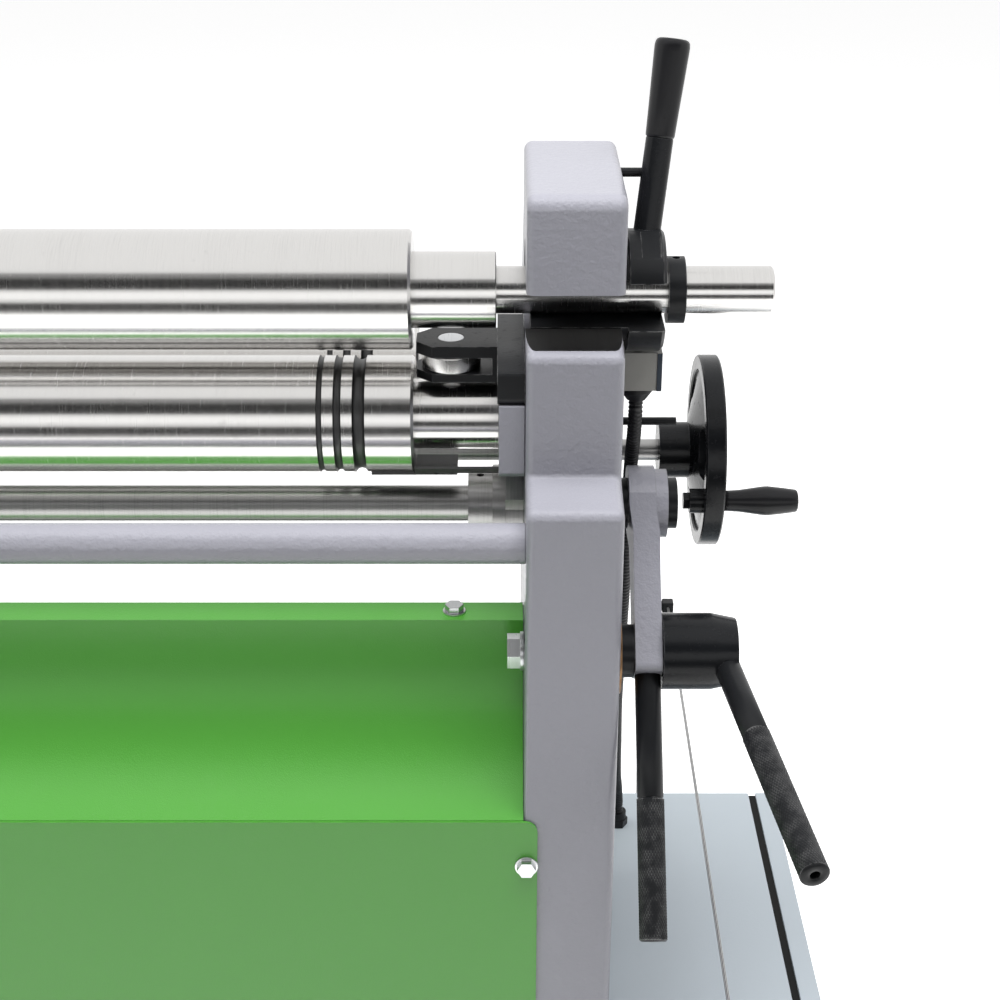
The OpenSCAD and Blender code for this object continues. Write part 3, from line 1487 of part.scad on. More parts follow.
module handwheel() {
  x0 = wheel_hub_x;
  x1 = wheel_rim_x;
  x2 = wheel_rim_x + wheel_rim_w;
  hub_end = x0 + wheel_hub_w;
  rim_r = wheel_r - wheel_rim_in;
  cy = wheel_back + crank_radius * cos(crank_angle);
  cz = -wheel_drop + crank_radius * sin(crank_angle);
  color("#1f2123") at_axis() difference() {
    union() {
      turned_x(wheel_back, -wheel_drop, [
        [x0, wheel_shaft_r], [x0, wheel_hub_r], [hub_end, wheel_hub_r], [hub_end + wheel_dish_in, wheel_dish_r],
        [x1 + wheel_dish_in, rim_r], [x1 + wheel_rim_round, rim_r], [x1, rim_r + wheel_rim_round],
        [x1, wheel_r - wheel_rim_round], [x1 + wheel_rim_round, wheel_r], [x2 - wheel_rim_round, wheel_r],
        [x2, wheel_r - wheel_rim_round], [x2, rim_r + wheel_rim_round],
        [x2 - wheel_rim_round, rim_r], [x1 + wheel_dish_in + wheel_web_t, rim_r],
        [hub_end + wheel_dish_in + wheel_web_t, wheel_dish_r], [hub_end + wheel_web_t, wheel_hub_r],
        [hub_end + wheel_web_t, wheel_shaft_r]]);
      rod_x(x1 - crank_boss_out, x2 - over, cy, cz, crank_boss_r);
    }
    translate([0, wheel_back, -wheel_drop]) for (i = [0 : 2]) rotate([wheel_window_angle + 120 * i, 0, 0])
      slab_x(hub_end, x2 + over) wheel_window();
    rod_x(x1 - crank_boss_out - over, x2 + over, cy, cz, crank_bolt_r);
  }
  // hexagon bolt that carries the crank handle
  color("#55585a") at_axis() {
    rod_x(x1 - crank_boss_out, crank_x0 + crank_len - over, cy, cz, crank_bolt_r);
    translate([x1 - crank_boss_out - hex_h, cy, cz]) rotate([0, 90, 0]) cylinder(r = hex_r, h = hex_h, $fn = 6);
  }
}

module crank_grip() {
  cy = wheel_back + crank_radius * cos(crank_angle);
  cz = -wheel_drop + crank_radius * sin(crank_angle);
  x1 = crank_x0 + crank_len;
  color("#17181a") at_axis() turned_x(cy, cz, [
    [crank_x0, crank_bolt_r + fit], [crank_x0, crank_r[0]],
    [crank_x0 + crank_len * crank_widest, crank_r[1]], [x1 - crank_round, crank_r[2]],
    [x1, crank_r[2] - crank_round], [x1, 0], [x1 - over + fit, 0], [x1 - over + fit, crank_bolt_r + fit]]);
}

// Cabinet

module cabinet() {
  z0 = axis_h - cabinet_top - cabinet_h;
  color("#b2bbc2") {
    difference() {
      translate([outer_x, cabinet_front, z0]) cube([cabinet_d, cabinet_w, cabinet_h]);
      translate([outer_x + cabinet_wall, cabinet_front + cabinet_wall, z0 + cabinet_wall])
        cube([cabinet_d - 2 * cabinet_wall, cabinet_w - 2 * cabinet_wall, cabinet_h - 2 * cabinet_wall]);
      translate([outer_x + cabinet_d / 2, cabinet_front + cabinet_rim, z0 + cabinet_rim])
        cube([cabinet_d, cabinet_w - 2 * cabinet_rim, cabinet_h - 2 * cabinet_rim]);
    }
    for (z = hinge_zs) {
      translate([hinge_x, hinge_y, z]) cylinder(r = hinge_r, h = hinge_h);
      translate([hinge_x, hinge_y, z + hinge_h]) cylinder(r = hinge_pin_r, h = hinge_h - hinge_pin_short);
      translate([hinge_x - 2 * hinge_r, cabinet_back, z]) cube([2 * hinge_r, hinge_off, hinge_h]);
    }
  }
}

module cabinet_door() {
  z0 = axis_h - cabinet_top - cabinet_h;
  color("#b2bbc2") {
    difference() {
      union() {
        difference() {
          translate([door_x0, cabinet_front, z0]) cube([door_t, cabinet_w, cabinet_h]);
          translate([door_x0 - over, cabinet_front + door_skin, z0 + door_skin])
            cube([door_t - door_skin + over, cabinet_w - 2 * door_skin, cabinet_h - 2 * door_skin]);
        }
        // bezels of the push buttons
        for (y = [stop_y, start_y]) rod_x(door_x1 - door_skin, door_x1 + bezel_h, y, button_z, bezel_r);
      }
      rod_x(door_x0, door_x1 + over, lock_y, lock_z, lock_stem_r + fit);
      rod_x(door_x0, door_x1 + over, main_y, main_z, button_r + fit);
      for (y = [stop_y, start_y]) rod_x(door_x0, door_x1 + bezel_h + over, y, button_z, button_r + fit);
    }
    for (z = hinge_zs) difference() {
      union() {
        translate([hinge_x, hinge_y, z + hinge_h + slack]) cylinder(r = hinge_r, h = hinge_h);
        translate([hinge_x, cabinet_back, z + hinge_h + slack])
          cube([door_x0 + door_skin - hinge_x, hinge_off, hinge_h]);
      }
      translate([hinge_x, hinge_y, z]) cylinder(r = hinge_pin_r + fit, h = 2 * hinge_h);
    }
  }
  // rubber seal between the door and the cabinet
  color("#17181a") difference() {
    translate([cabinet_x1 + slack, cabinet_front + cabinet_wall, z0 + cabinet_wall])
      cube([door_x1 - door_skin - cabinet_x1 - slack, cabinet_w - 2 * cabinet_wall, cabinet_h - 2 * cabinet_wall]);
    translate([cabinet_x1 - over, cabinet_front + cabinet_wall + seal_w, z0 + cabinet_wall + seal_w])
      cube([door_x1 - cabinet_x1, cabinet_w - 2 * cabinet_wall - 2 * seal_w,
        cabinet_h - 2 * cabinet_wall - 2 * seal_w]);
  }
}

module door_lock() {
  color("#9a9c9e") {
    rod_x(door_x1, door_x1 + lock_out, lock_y, lock_z, lock_r);
    rod_x(lock_bar_x, door_x1, lock_y, lock_z, lock_stem_r);
    translate([lock_bar_x - lock_bar_t, lock_y - lock_bar_w / 2, lock_z - lock_bar_w / 2])
      cube([lock_bar_t, lock_bar_w, lock_bar_l]);
  }
}

module main_switch() {
  x = door_x1 + slack;
  color("#c01f1a") {
    rod_x(door_x0, x, main_y, main_z, button_r);
    rod_x(x, x + switch_knob_h / 2, main_y, main_z, switch_knob_r);
    translate([x + switch_knob_h / 2, main_y - switch_knob_w / 2, main_z - switch_knob_r])
      cube([switch_knob_h / 2, switch_knob_w, 2 * switch_knob_r]);
  }
}

// a push button that lies flush in its bezel
module button(y) {
  rod_x(door_x1 - button_behind, door_x1 + button_out, y, button_z, button_r);
}

module stop_button() {
  color("#c01f1a") button(stop_y);
}

module start_button() {
  color("#2c8a3a") button(start_y);
}

// mounting plate with contactors inside the cabinet
module switchgear() {
  z0 = axis_h - cabinet_top - cabinet_h;
  x0 = outer_x + cabinet_wall + plate_gap;
  step = contactor[1] + contactor_gap;
  color("#c8cacc") {
    translate([x0, cabinet_front + plate_margin, z0 + plate_margin])
      cube([plate_t, cabinet_w - 2 * plate_margin, cabinet_h - 2 * plate_margin]);
    for (y = [cabinet_front + 2 * plate_margin, cabinet_back - 2 * plate_margin],
         z = [z0 + 2 * plate_margin, z0 + cabinet_h - 2 * plate_margin])
      rod_x(outer_x + cabinet_wall, x0, y, z, plate_t);
  }
  color("#e0dfd8") for (i = [0 : contactor_count - 1])
    translate([x0 + plate_t, cabinet_front + 2 * plate_margin + i * step, z0 + cabinet_h / 2 - contactor[2] / 2])
      cube(contactor);
}

// Trip wire round the machine

// a post with an arm back to the frame's foot; s is the side and e the end of the machine
module trip_post(s, e, x, y, h) {
  foot_y = e * foot_half;
  translate([x - post_half, y - post_half, 0]) cube([2 * post_half, 2 * post_half, h]);
  translate([s * mid_x - post_half, min(foot_y, y - post_half), 0])
    cube([2 * post_half, max(foot_y, y + post_half) - min(foot_y, y - post_half), arm_h]);
  translate([min(s * mid_x - post_half, x - post_half), y - post_half, 0])
    cube([abs(x - s * mid_x) + 2 * post_half, 2 * post_half, arm_h]);
}

module trip_posts() {
  front_top = wire_h - guide_h / 2;
  back_top = wire_h + wire_rise + post_half;
  color("#8c8c94") {
    trip_post(1, -1, wire_right - wire_turn, wire_front + wire_turn, front_top);
    trip_post(-1, -1, wire_left + wire_turn, wire_front + wire_turn, front_top);
    trip_post(1, 1, anchor_post_x, wire_back + anchor_block / 2, back_top);
    trip_post(-1, 1, wire_left, wire_back + trip_box[1] + post_half, back_top);
  }
}

// grooved corner guides on the front posts, and the anchor on the right rear post
module corner_guides() {
  color("#1f2123") {
    for (x = [wire_right - wire_turn, wire_left + wire_turn])
      translate([x, wire_front + wire_turn, wire_h - guide_h / 2]) {
        cylinder(r = guide_r, h = guide_h);
        cylinder(r = guide_rim_r, h = guide_rim_t);
        translate([0, 0, guide_h - guide_rim_t]) cylinder(r = guide_rim_r, h = guide_rim_t);
      }
    translate([wire_right - anchor_block / 2, wire_back, wire_h + wire_rise - anchor_block / 2])
      cube(anchor_block);
    rod_x(anchor_post_x + post_half, wire_right, wire_back + anchor_block / 2, wire_h + wire_rise, anchor_r);
  }
}

module trip_wire() {
  y0 = wire_front + wire_turn;
  x0 = wire_right - wire_turn;
  x1 = wire_left + wire_turn;
  turn = [for (i = [0 : wire_steps]) 90 * i / wire_steps];
  p = concat(
    [[wire_right, wire_back, wire_h + wire_rise]],
    [for (a = turn) [x0 + wire_turn * cos(a), y0 - wire_turn * sin(a), wire_h]],
    [for (a = turn) [x1 - wire_turn * sin(a), y0 - wire_turn * cos(a), wire_h]],
    [[wire_left, wire_back, wire_h + wire_rise]]);
  color("#b0b2b4") tube(p, [for (q = p) wire_d / 2], [0, 0, 1], wire_sides);
}

module trip_switch() {
  color("#b8261c") translate([wire_left - trip_box[0] / 2, wire_back, wire_h + wire_rise - trip_box[2] / 2])
    cube(trip_box);
}

frame_right();
frame_left();
tie_tube();
cross_ties();
upper_cover();
front_panel();
rear_panel();
cover_screws();
drive_cover();
gearbox();
motor();
bearing_socket();
index_pins();
limit_switch();
conduit_glands();
conduit();
cabinet();
switchgear();
trip_posts();
corner_guides();
trip_wire();
trip_switch();
arm_washers();
slide_covers();
lower_blocks();
cone_bracket();
cone_pin();
roll_guard();
lower_roll();
lower_gear();
swing_ball();
top_roll();
top_gear();
set_collar();
lock_hub();
lock_lever();
lock_grip();
cam_shaft();
cams();
clamp_arm();
pull_lever();
clamp_bolt();
clamp_nut();
clamp_lever();
rear_blocks();
rear_roll();
rear_screw_right();
rear_screw_left();
handwheel();
sync_shaft();
crank_grip();
cone_roller();
cabinet_door();
door_lock();
main_switch();
stop_button();
start_button();
idler_gear();
drive_gear();
switch_plunger();
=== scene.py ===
# %% [markdown]
# # A powered slip roll machine
# This lesson dresses a finished mechanical model of a sheet rolling machine. The solids come
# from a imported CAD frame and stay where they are. Blender rounds the edges, builds the pieces
# that need finer shape (knurled grips, ribbed conduit, cast frames) and gives every surface a
# procedural finish.

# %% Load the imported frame
import math

import bmesh
import bpy
from mathutils import Matrix, Vector


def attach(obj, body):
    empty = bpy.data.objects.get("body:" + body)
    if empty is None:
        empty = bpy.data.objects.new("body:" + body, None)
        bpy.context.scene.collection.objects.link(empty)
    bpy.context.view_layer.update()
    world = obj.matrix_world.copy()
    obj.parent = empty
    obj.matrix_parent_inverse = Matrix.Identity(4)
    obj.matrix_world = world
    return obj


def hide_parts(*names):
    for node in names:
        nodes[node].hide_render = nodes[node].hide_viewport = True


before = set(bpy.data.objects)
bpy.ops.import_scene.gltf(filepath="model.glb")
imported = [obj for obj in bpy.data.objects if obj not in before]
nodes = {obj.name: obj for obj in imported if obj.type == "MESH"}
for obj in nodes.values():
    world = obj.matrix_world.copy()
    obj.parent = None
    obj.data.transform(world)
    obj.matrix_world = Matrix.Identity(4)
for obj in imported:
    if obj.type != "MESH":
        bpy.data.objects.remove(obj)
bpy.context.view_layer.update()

# %% [markdown]
# ## Camera
# The photograph was taken from just left of the right-hand frame, with a long lens and the
# camera tipped about 25 degrees down. A camera is placed by the same three facts a
# photographer would note: where it stands, how far it tips, and its focal length.

# %% Camera
CAMERA_PLACE = Vector((0.715, -1.2797, 1.4365))
CAMERA_TIP = 25.5
CAMERA_LENS = 64.8

camera_data = bpy.data.cameras.new("studio_camera")
camera_data.lens = CAMERA_LENS
camera_data.sensor_width = 36
camera_data.clip_start = 0.05
camera_data.clip_end = 60
camera = bpy.data.objects.new("studio_camera", camera_data)
camera.location = CAMERA_PLACE
camera.rotation_euler = (math.radians(90 - CAMERA_TIP), 0, 0)
bpy.context.scene.collection.objects.link(camera)
bpy.context.scene.camera = camera
bpy.context.scene.view_settings.view_transform = "Standard"
print("camera", tuple(round(x, 3) for x in camera.location), "lens", camera_data.lens)

# %% [markdown]
# ## Node helpers
# Materials are small graphs of nodes. Three helpers keep them readable: one joins two sockets,
# one starts a material whose shader already has its plain values, and one makes a colour ramp.

# %% Node helpers
def join(tree, source, target):
    tree.links.new(source, target)


def new_material(name, colour, roughness, metallic=0.0):
    """A material with one Principled shader. Returns the material, its tree and the shader."""
    material = bpy.data.materials.new(name)
    material.use_nodes = True
    tree = material.node_tree
    shader = tree.nodes["Principled BSDF"]
    shader.inputs["Base Color"].default_value = (*colour, 1)
    shader.inputs["Roughness"].default_value = roughness
    shader.inputs["Metallic"].default_value = metallic
    material.diffuse_color = (*colour, 1)
    return material, tree, shader


def ramp(tree, stops):
    """A colour ramp through (position, grey or colour) stops."""
    node = tree.nodes.new("ShaderNodeValToRGB")
    elements = node.color_ramp.elements
    while len(elements) < len(stops):
        elements.new(0.5)
    for element, (place, value) in zip(elements, stops):
        element.position = place
        element.color = (*value, 1) if hasattr(value, "__len__") else (value, value, value, 1)
    return node


print("helpers ready")

# %% [markdown]
# ## Effects that several finishes share
# A node group is a reusable effect with named inputs and outputs. Five are enough here: the
# skin of sprayed paint, slow drifts of tone, turning marks round a shaft, wear along edges and
# fine dust in the texture.

# %% Shared effects
def start_group(name, inputs, outputs):
    """A node group with float or colour sockets; returns it with its two end nodes."""
    group = bpy.data.node_groups.new(name, "ShaderNodeTree")
    for label, kind, value in inputs:
        socket = group.interface.new_socket(label, in_out="INPUT", socket_type=kind)
        if value is not None:
            socket.default_value = value
    for label, kind in outputs:
        group.interface.new_socket(label, in_out="OUTPUT", socket_type=kind)
    return group, group.nodes.new("NodeGroupInput"), group.nodes.new("NodeGroupOutput")


def place_group(tree, group, **values):
    node = tree.nodes.new("ShaderNodeGroup")
    node.node_tree = group
    for key, value in values.items():
        node.inputs[key.replace("_", " ").title()].default_value = value
    return node


def math_node(tree, operation, a, b=None, clamp=False):
    """A Math node; a and b are sockets or numbers."""
    node = tree.nodes.new("ShaderNodeMath")
    node.operation = operation
    node.use_clamp = clamp
    for i, value in enumerate((a, b)):
        if value is None:
            continue
        if isinstance(value, (int, float)):
            node.inputs[i].default_value = value
        else:
            tree.links.new(value, node.inputs[i])
    return node.outputs[0]


def noise_node(tree, vector, scale, detail=2.0, roughness=0.5):
    node = tree.nodes.new("ShaderNodeTexNoise")
    if isinstance(scale, (int, float)):
        node.inputs["Scale"].default_value = scale
    else:
        tree.links.new(scale, node.inputs["Scale"])
    node.inputs["Detail"].default_value = detail
    node.inputs["Roughness"].default_value = roughness
    tree.links.new(vector, node.inputs["Vector"])
    return node.outputs["Fac"]


def coordinates(tree):
    """The place on the object in metres: the pieces sit at the origin, so it is the row frame."""
    return tree.nodes.new("ShaderNodeTexCoord").outputs["Object"]


# sprayed paint: a fine ripple with broader soft lumps under it
paint_skin, ends_in, ends_out = start_group(
    "paint_skin",
    [("Ripple Scale", "NodeSocketFloat", 700.0), ("Lump Scale", "NodeSocketFloat", 160.0),
     ("Lump Share", "NodeSocketFloat", 0.5)],
    [("Height", "NodeSocketFloat")])
where = coordinates(paint_skin)
ripple = noise_node(paint_skin, where, ends_in.outputs["Ripple Scale"], 2.0, 0.45)
lumps = noise_node(paint_skin, where, ends_in.outputs["Lump Scale"], 1.0, 0.4)
mix_height = paint_skin.nodes.new("ShaderNodeMix")
join(paint_skin, ends_in.outputs["Lump Share"], mix_height.inputs[0])
join(paint_skin, ripple, mix_height.inputs[2])
join(paint_skin, lumps, mix_height.inputs[3])
join(paint_skin, mix_height.outputs[0], ends_out.inputs["Height"])

# slow drift of tone, 0.5 in the middle
tone_drift, ends_in, ends_out = start_group(
    "tone_drift",
    [("Scale", "NodeSocketFloat", 6.0), ("Light", "NodeSocketColor", (1, 1, 1, 1)),
     ("Dark", "NodeSocketColor", (0, 0, 0, 1))],
    [("Color", "NodeSocketColor")])
where = coordinates(tone_drift)
drift = noise_node(tone_drift, where, ends_in.outputs["Scale"], 3.0, 0.55)
mix_tone = tone_drift.nodes.new("ShaderNodeMix")
mix_tone.data_type = "RGBA"
join(tone_drift, drift, mix_tone.inputs[0])
join(tone_drift, ends_in.outputs["Dark"], mix_tone.inputs[6])
join(tone_drift, ends_in.outputs["Light"], mix_tone.inputs[7])
join(tone_drift, mix_tone.outputs[2], ends_out.inputs["Color"])

# turning marks: noise that changes fast along X and hardly at all round the shaft
lay_marks, ends_in, ends_out = start_group(
    "lay_marks",
    [("Fine Scale", "NodeSocketFloat", 900.0), ("Band Scale", "NodeSocketFloat", 40.0)],
    [("Fine", "NodeSocketFloat"), ("Bands", "NodeSocketFloat"), ("Height", "NodeSocketFloat")])
where = coordinates(lay_marks)
stretch = lay_marks.nodes.new("ShaderNodeMapping")
stretch.inputs["Scale"].default_value = (1.0, 0.02, 0.02)
join(lay_marks, where, stretch.inputs["Vector"])
fine = noise_node(lay_marks, stretch.outputs[0], ends_in.outputs["Fine Scale"], 4.0, 0.75)
bands = noise_node(lay_marks, stretch.outputs[0], ends_in.outputs["Band Scale"], 3.0, 0.6)
join(lay_marks, fine, ends_out.inputs["Fine"])
join(lay_marks, bands, ends_out.inputs["Bands"])
join(lay_marks, math_node(lay_marks, "ADD", fine, math_node(lay_marks, "MULTIPLY", bands, 0.4)),
     ends_out.inputs["Height"])

# wear: where a rounded normal leaves the true one, broken up by noise
edge_wear, ends_in, ends_out = start_group(
    "edge_wear",
    [("Radius", "NodeSocketFloat", 0.002), ("Breakup Scale", "NodeSocketFloat", 60.0),
     ("Amount", "NodeSocketFloat", 1.0)],
    [("Mask", "NodeSocketFloat")])
rounded_normal = edge_wear.nodes.new("ShaderNodeBevel")
rounded_normal.samples = 4
join(edge_wear, ends_in.outputs["Radius"], rounded_normal.inputs["Radius"])
true_normal = edge_wear.nodes.new("ShaderNodeNewGeometry")
agree = edge_wear.nodes.new("ShaderNodeVectorMath")
agree.operation = "DOT_PRODUCT"
join(edge_wear, rounded_normal.outputs[0], agree.inputs[0])
join(edge_wear, true_normal.outputs["Normal"], agree.inputs[1])
apart = math_node(edge_wear, "SUBTRACT", 1.0, agree.outputs["Value"])
leaving = math_node(edge_wear, "MULTIPLY", apart, 9.0)
breakup = noise_node(edge_wear, coordinates(edge_wear), ends_in.outputs["Breakup Scale"], 5.0, 0.6)
broken = math_node(edge_wear, "MULTIPLY", math_node(edge_wear, "SUBTRACT", breakup, 0.42), 5.0, True)
mask = math_node(edge_wear, "MULTIPLY", math_node(edge_wear, "MULTIPLY", leaving, broken),
                 ends_in.outputs["Amount"], True)
join(edge_wear, mask, ends_out.inputs["Mask"])

# dust and handling: a pale speckle mask
fine_dust, ends_in, ends_out = start_group(
    "fine_dust",
    [("Scale", "NodeSocketFloat", 240.0), ("Threshold", "NodeSocketFloat", 0.64)],
    [("Mask", "NodeSocketFloat")])
speckle = noise_node(fine_dust, coordinates(fine_dust), ends_in.outputs["Scale"], 4.0, 0.7)
over = math_node(fine_dust, "SUBTRACT", speckle, ends_in.outputs["Threshold"])
join(fine_dust, math_node(fine_dust, "MULTIPLY", over, 9.0, True), ends_out.inputs["Mask"])
print("effects:", [g.name for g in bpy.data.node_groups])

# %% [markdown]
# ## Painted finishes
# The castings wear thick grey enamel that dried with a hammered skin. The sheet covers are
# green powder coat, much finer in texture. The cabinet has a smooth pale coat. All three are
# the same recipe with other numbers: colour with a slow drift, a little bare primer where
# edges wear, and a bump from the paint skin.

# %% Paint materials
def bump(tree, shader, height, strength, distance):
    node = tree.nodes.new("ShaderNodeBump")
    node.inputs["Strength"].default_value = strength
    node.inputs["Distance"].default_value = distance
    tree.links.new(height, node.inputs["Height"])
    tree.links.new(node.outputs["Normal"], shader.inputs["Normal"])


def scaled(colour, factor):
    return tuple(min(1.0, c * factor) for c in colour)


def mix_colour(tree, mask, first, second):
    """Mixes two colours by a mask socket. Each colour is a socket or a plain colour."""
    node = tree.nodes.new("ShaderNodeMix")
    node.data_type = "RGBA"
    tree.links.new(mask, node.inputs[0])
    for value, socket in ((first, node.inputs[6]), (second, node.inputs[7])):
        if isinstance(value, tuple):
            socket.default_value = (*value, 1)
        else:
            tree.links.new(value, socket)
    return node.outputs[2]


def painted(name, colour, roughness, ripple_scale, lump_scale, lump_share, relief, worn_to,
            wear=0.5, drift=0.06, coat=0.0):
    material, tree, shader = new_material(name, colour, roughness)
    shader.inputs["Coat Weight"].default_value = coat
    shader.inputs["Coat Roughness"].default_value = 0.12
    tone = place_group(tree, tone_drift, Scale=7.0, Light=(*scaled(colour, 1 + drift), 1),
                       Dark=(*scaled(colour, 1 - drift), 1))
    worn = place_group(tree, edge_wear, Radius=0.0016, Breakup_Scale=45.0, Amount=wear)
    join(tree, mix_colour(tree, worn.outputs["Mask"], tone.outputs["Color"], worn_to),
         shader.inputs["Base Color"])
    skin = place_group(tree, paint_skin, Ripple_Scale=ripple_scale, Lump_Scale=lump_scale,
                       Lump_Share=lump_share)
    bump(tree, shader, skin.outputs["Height"], 1.0, relief)
    dust = place_group(tree, fine_dust, Scale=210.0, Threshold=0.6)
    rough = math_node(tree, "ADD", math_node(tree, "MULTIPLY", dust.outputs["Mask"], 0.12), roughness)
    join(tree, rough, shader.inputs["Roughness"])
    return material


CASTING_GREY = (0.262, 0.262, 0.296)
COVER_GREEN = (0.07, 0.30, 0.035)
CABINET_GREY = (0.45, 0.50, 0.54)

casting_enamel = painted("casting_enamel", CASTING_GREY, 0.36, 620, 210, 0.62, 0.00075,
                         (0.14, 0.14, 0.15), wear=0.3, coat=0.25)
cover_coat = painted("cover_coat", COVER_GREEN, 0.33, 1500, 520, 0.35, 0.00022,
                     (0.05, 0.16, 0.03), wear=0.25, drift=0.03, coat=0.15)
cabinet_coat = painted("cabinet_coat", CABINET_GREY, 0.42, 1300, 400, 0.4, 0.00016,
                       (0.3, 0.33, 0.36), wear=0.2, drift=0.03)
motor_enamel = painted("motor_enamel", (0.11, 0.16, 0.2), 0.38, 700, 190, 0.6, 0.0006,
                       (0.06, 0.07, 0.08), wear=0.4)
print("paints:", casting_enamel.name, cover_coat.name, cabinet_coat.name, motor_enamel.name)

# %% [markdown]
# ## Metal finishes
# The rolls are ground on a lathe-like machine, so their marks run round them: the tone and
# the shine change along the roll in fine rings. Turned and milled parts are coarser and
# slightly oiled. Black pieces have an oxide coat that rubs bright on its edges.

# %% Metal materials
def ground(name, colour, roughness, fine_scale, band_scale, relief, contrast=0.16, along_x=False):
    material, tree, shader = new_material(name, colour, roughness, 1.0)
    if along_x:
        # marks that run round a roll spread its highlights along the roll, and keep them sharp across it
        shader.inputs["Anisotropic"].default_value = 0.8
        shader.inputs["Anisotropic Rotation"].default_value = 0.25
        round_roll = tree.nodes.new("ShaderNodeTangent")
        round_roll.direction_type = "RADIAL"
        round_roll.axis = "X"
        join(tree, round_roll.outputs["Tangent"], shader.inputs["Tangent"])
    marks = place_group(tree, lay_marks, Fine_Scale=fine_scale, Band_Scale=band_scale)
    light = scaled(colour, 1 + contrast)
    dark = scaled(colour, 1 - contrast)
    tone = ramp(tree, [(0.3, dark), (0.7, light)])
    join(tree, marks.outputs["Height"], tone.inputs[0])
    dust = place_group(tree, fine_dust, Scale=35.0, Threshold=0.66)
    join(tree, mix_colour(tree, dust.outputs["Mask"], tone.outputs[0], scaled(colour, 0.93)),
         shader.inputs["Base Color"])
    rough = math_node(tree, "MULTIPLY_ADD", marks.outputs["Fine"], 0.22)
    rough.node.inputs[2].default_value = roughness - 0.11
    join(tree, rough, shader.inputs["Roughness"])
    bump(tree, shader, marks.outputs["Height"], 0.6, relief)
    return material


ground_steel = ground("ground_steel", (0.70, 0.69, 0.675), 0.24, 1400, 60, 0.000012, 0.07, True)
oiled_bronze = ground("oiled_bronze", (0.25, 0.15, 0.08), 0.38, 700, 90, 0.00004)
dull_steel = ground("dull_steel", (0.07, 0.07, 0.07), 0.42, 700, 90, 0.00005, 0.25)
turned_steel = ground("turned_steel", (0.36, 0.355, 0.35), 0.34, 900, 120, 0.00005, 0.22)
bright_zinc = ground("bright_zinc", (0.62, 0.63, 0.64), 0.3, 500, 160, 0.00003, 0.1)

BLACK_SHINE = 0.22


def blackened(name, colour, roughness, rub_colour, wear, ripple=420, relief=0.00012):
    """Black oxide or satin paint on steel: rubbed edges turn to metal."""
    material, tree, shader = new_material(name, colour, roughness)
    shader.inputs["Specular IOR Level"].default_value = BLACK_SHINE
    rubbed = place_group(tree, edge_wear, Radius=0.0012, Breakup_Scale=90.0, Amount=wear)
    tone = place_group(tree, tone_drift, Scale=16.0, Light=(*scaled(colour, 1.35), 1),
                       Dark=(*scaled(colour, 0.75), 1))
    join(tree, mix_colour(tree, rubbed.outputs["Mask"], tone.outputs["Color"], rub_colour),
         shader.inputs["Base Color"])
    join(tree, math_node(tree, "MULTIPLY", rubbed.outputs["Mask"], 0.8), shader.inputs["Metallic"])
    dust = place_group(tree, fine_dust, Scale=160.0, Threshold=0.58)
    join(tree, math_node(tree, "ADD", math_node(tree, "MULTIPLY", dust.outputs["Mask"], 0.15), roughness),
         shader.inputs["Roughness"])
    skin = place_group(tree, paint_skin, Ripple_Scale=ripple, Lump_Scale=150.0, Lump_Share=0.3)
    bump(tree, shader, skin.outputs["Height"], 0.8, relief)
    return material


black_enamel = blackened("black_enamel", (0.006, 0.0065, 0.0075), 0.22, (0.2, 0.2, 0.21), 0.25)
black_oxide = blackened("black_oxide", (0.008, 0.0085, 0.0095), 0.32, (0.28, 0.28, 0.28), 0.5)
print("metals:", ground_steel.name, turned_steel.name, bright_zinc.name, black_oxide.name)

# %% [markdown]
# ## Moulded plastics, rubber and cable
# Moulded parts have an even colour, a faint pebbled texture and a duller look where hands
# touch them. One function makes them all, with a texture scale for each.

# %% Plastic materials
def moulded(name, colour, roughness, grain=900.0, relief=0.00006, coat=0.0, shine=0.5):
    material, tree, shader = new_material(name, colour, roughness)
    shader.inputs["Specular IOR Level"].default_value = shine
    shader.inputs["Coat Weight"].default_value = coat
    tone = place_group(tree, tone_drift, Scale=25.0, Light=(*scaled(colour, 1.12), 1),
                       Dark=(*scaled(colour, 0.9), 1))
    join(tree, tone.outputs["Color"], shader.inputs["Base Color"])
    dust = place_group(tree, fine_dust, Scale=300.0, Threshold=0.6)
    join(tree, math_node(tree, "ADD", math_node(tree, "MULTIPLY", dust.outputs["Mask"], 0.16), roughness),
         shader.inputs["Roughness"])
    skin = place_group(tree, paint_skin, Ripple_Scale=grain, Lump_Scale=300.0, Lump_Share=0.2)
    bump(tree, shader, skin.outputs["Height"], 0.7, relief)
    return material


black_plastic = moulded("black_plastic", (0.007, 0.007, 0.008), 0.3, 1100, shine=0.3)
gland_plastic = moulded("gland_plastic", (0.006, 0.006, 0.007), 0.4, 800, shine=0.3)
hose_plastic = moulded("hose_plastic", (0.005, 0.005, 0.006), 0.34, 600, shine=0.4)
red_plastic = moulded("red_plastic", (0.5, 0.014, 0.01), 0.25, 700, 0.00003, 0.3)
green_plastic = moulded("green_plastic", (0.02, 0.25, 0.04), 0.25, 700, 0.00003, 0.3)
ivory_plastic = moulded("ivory_plastic", (0.62, 0.61, 0.56), 0.4, 800)
switch_casing = moulded("switch_casing", (0.33, 0.325, 0.30), 0.42, 500, 0.00015)
seal_rubber = moulded("seal_rubber", (0.006, 0.006, 0.006), 0.6, 400, 0.0001, shine=0.2)
lid_plastic = moulded("lid_plastic", (0.022, 0.034, 0.052), 0.35, 700, shine=0.4)

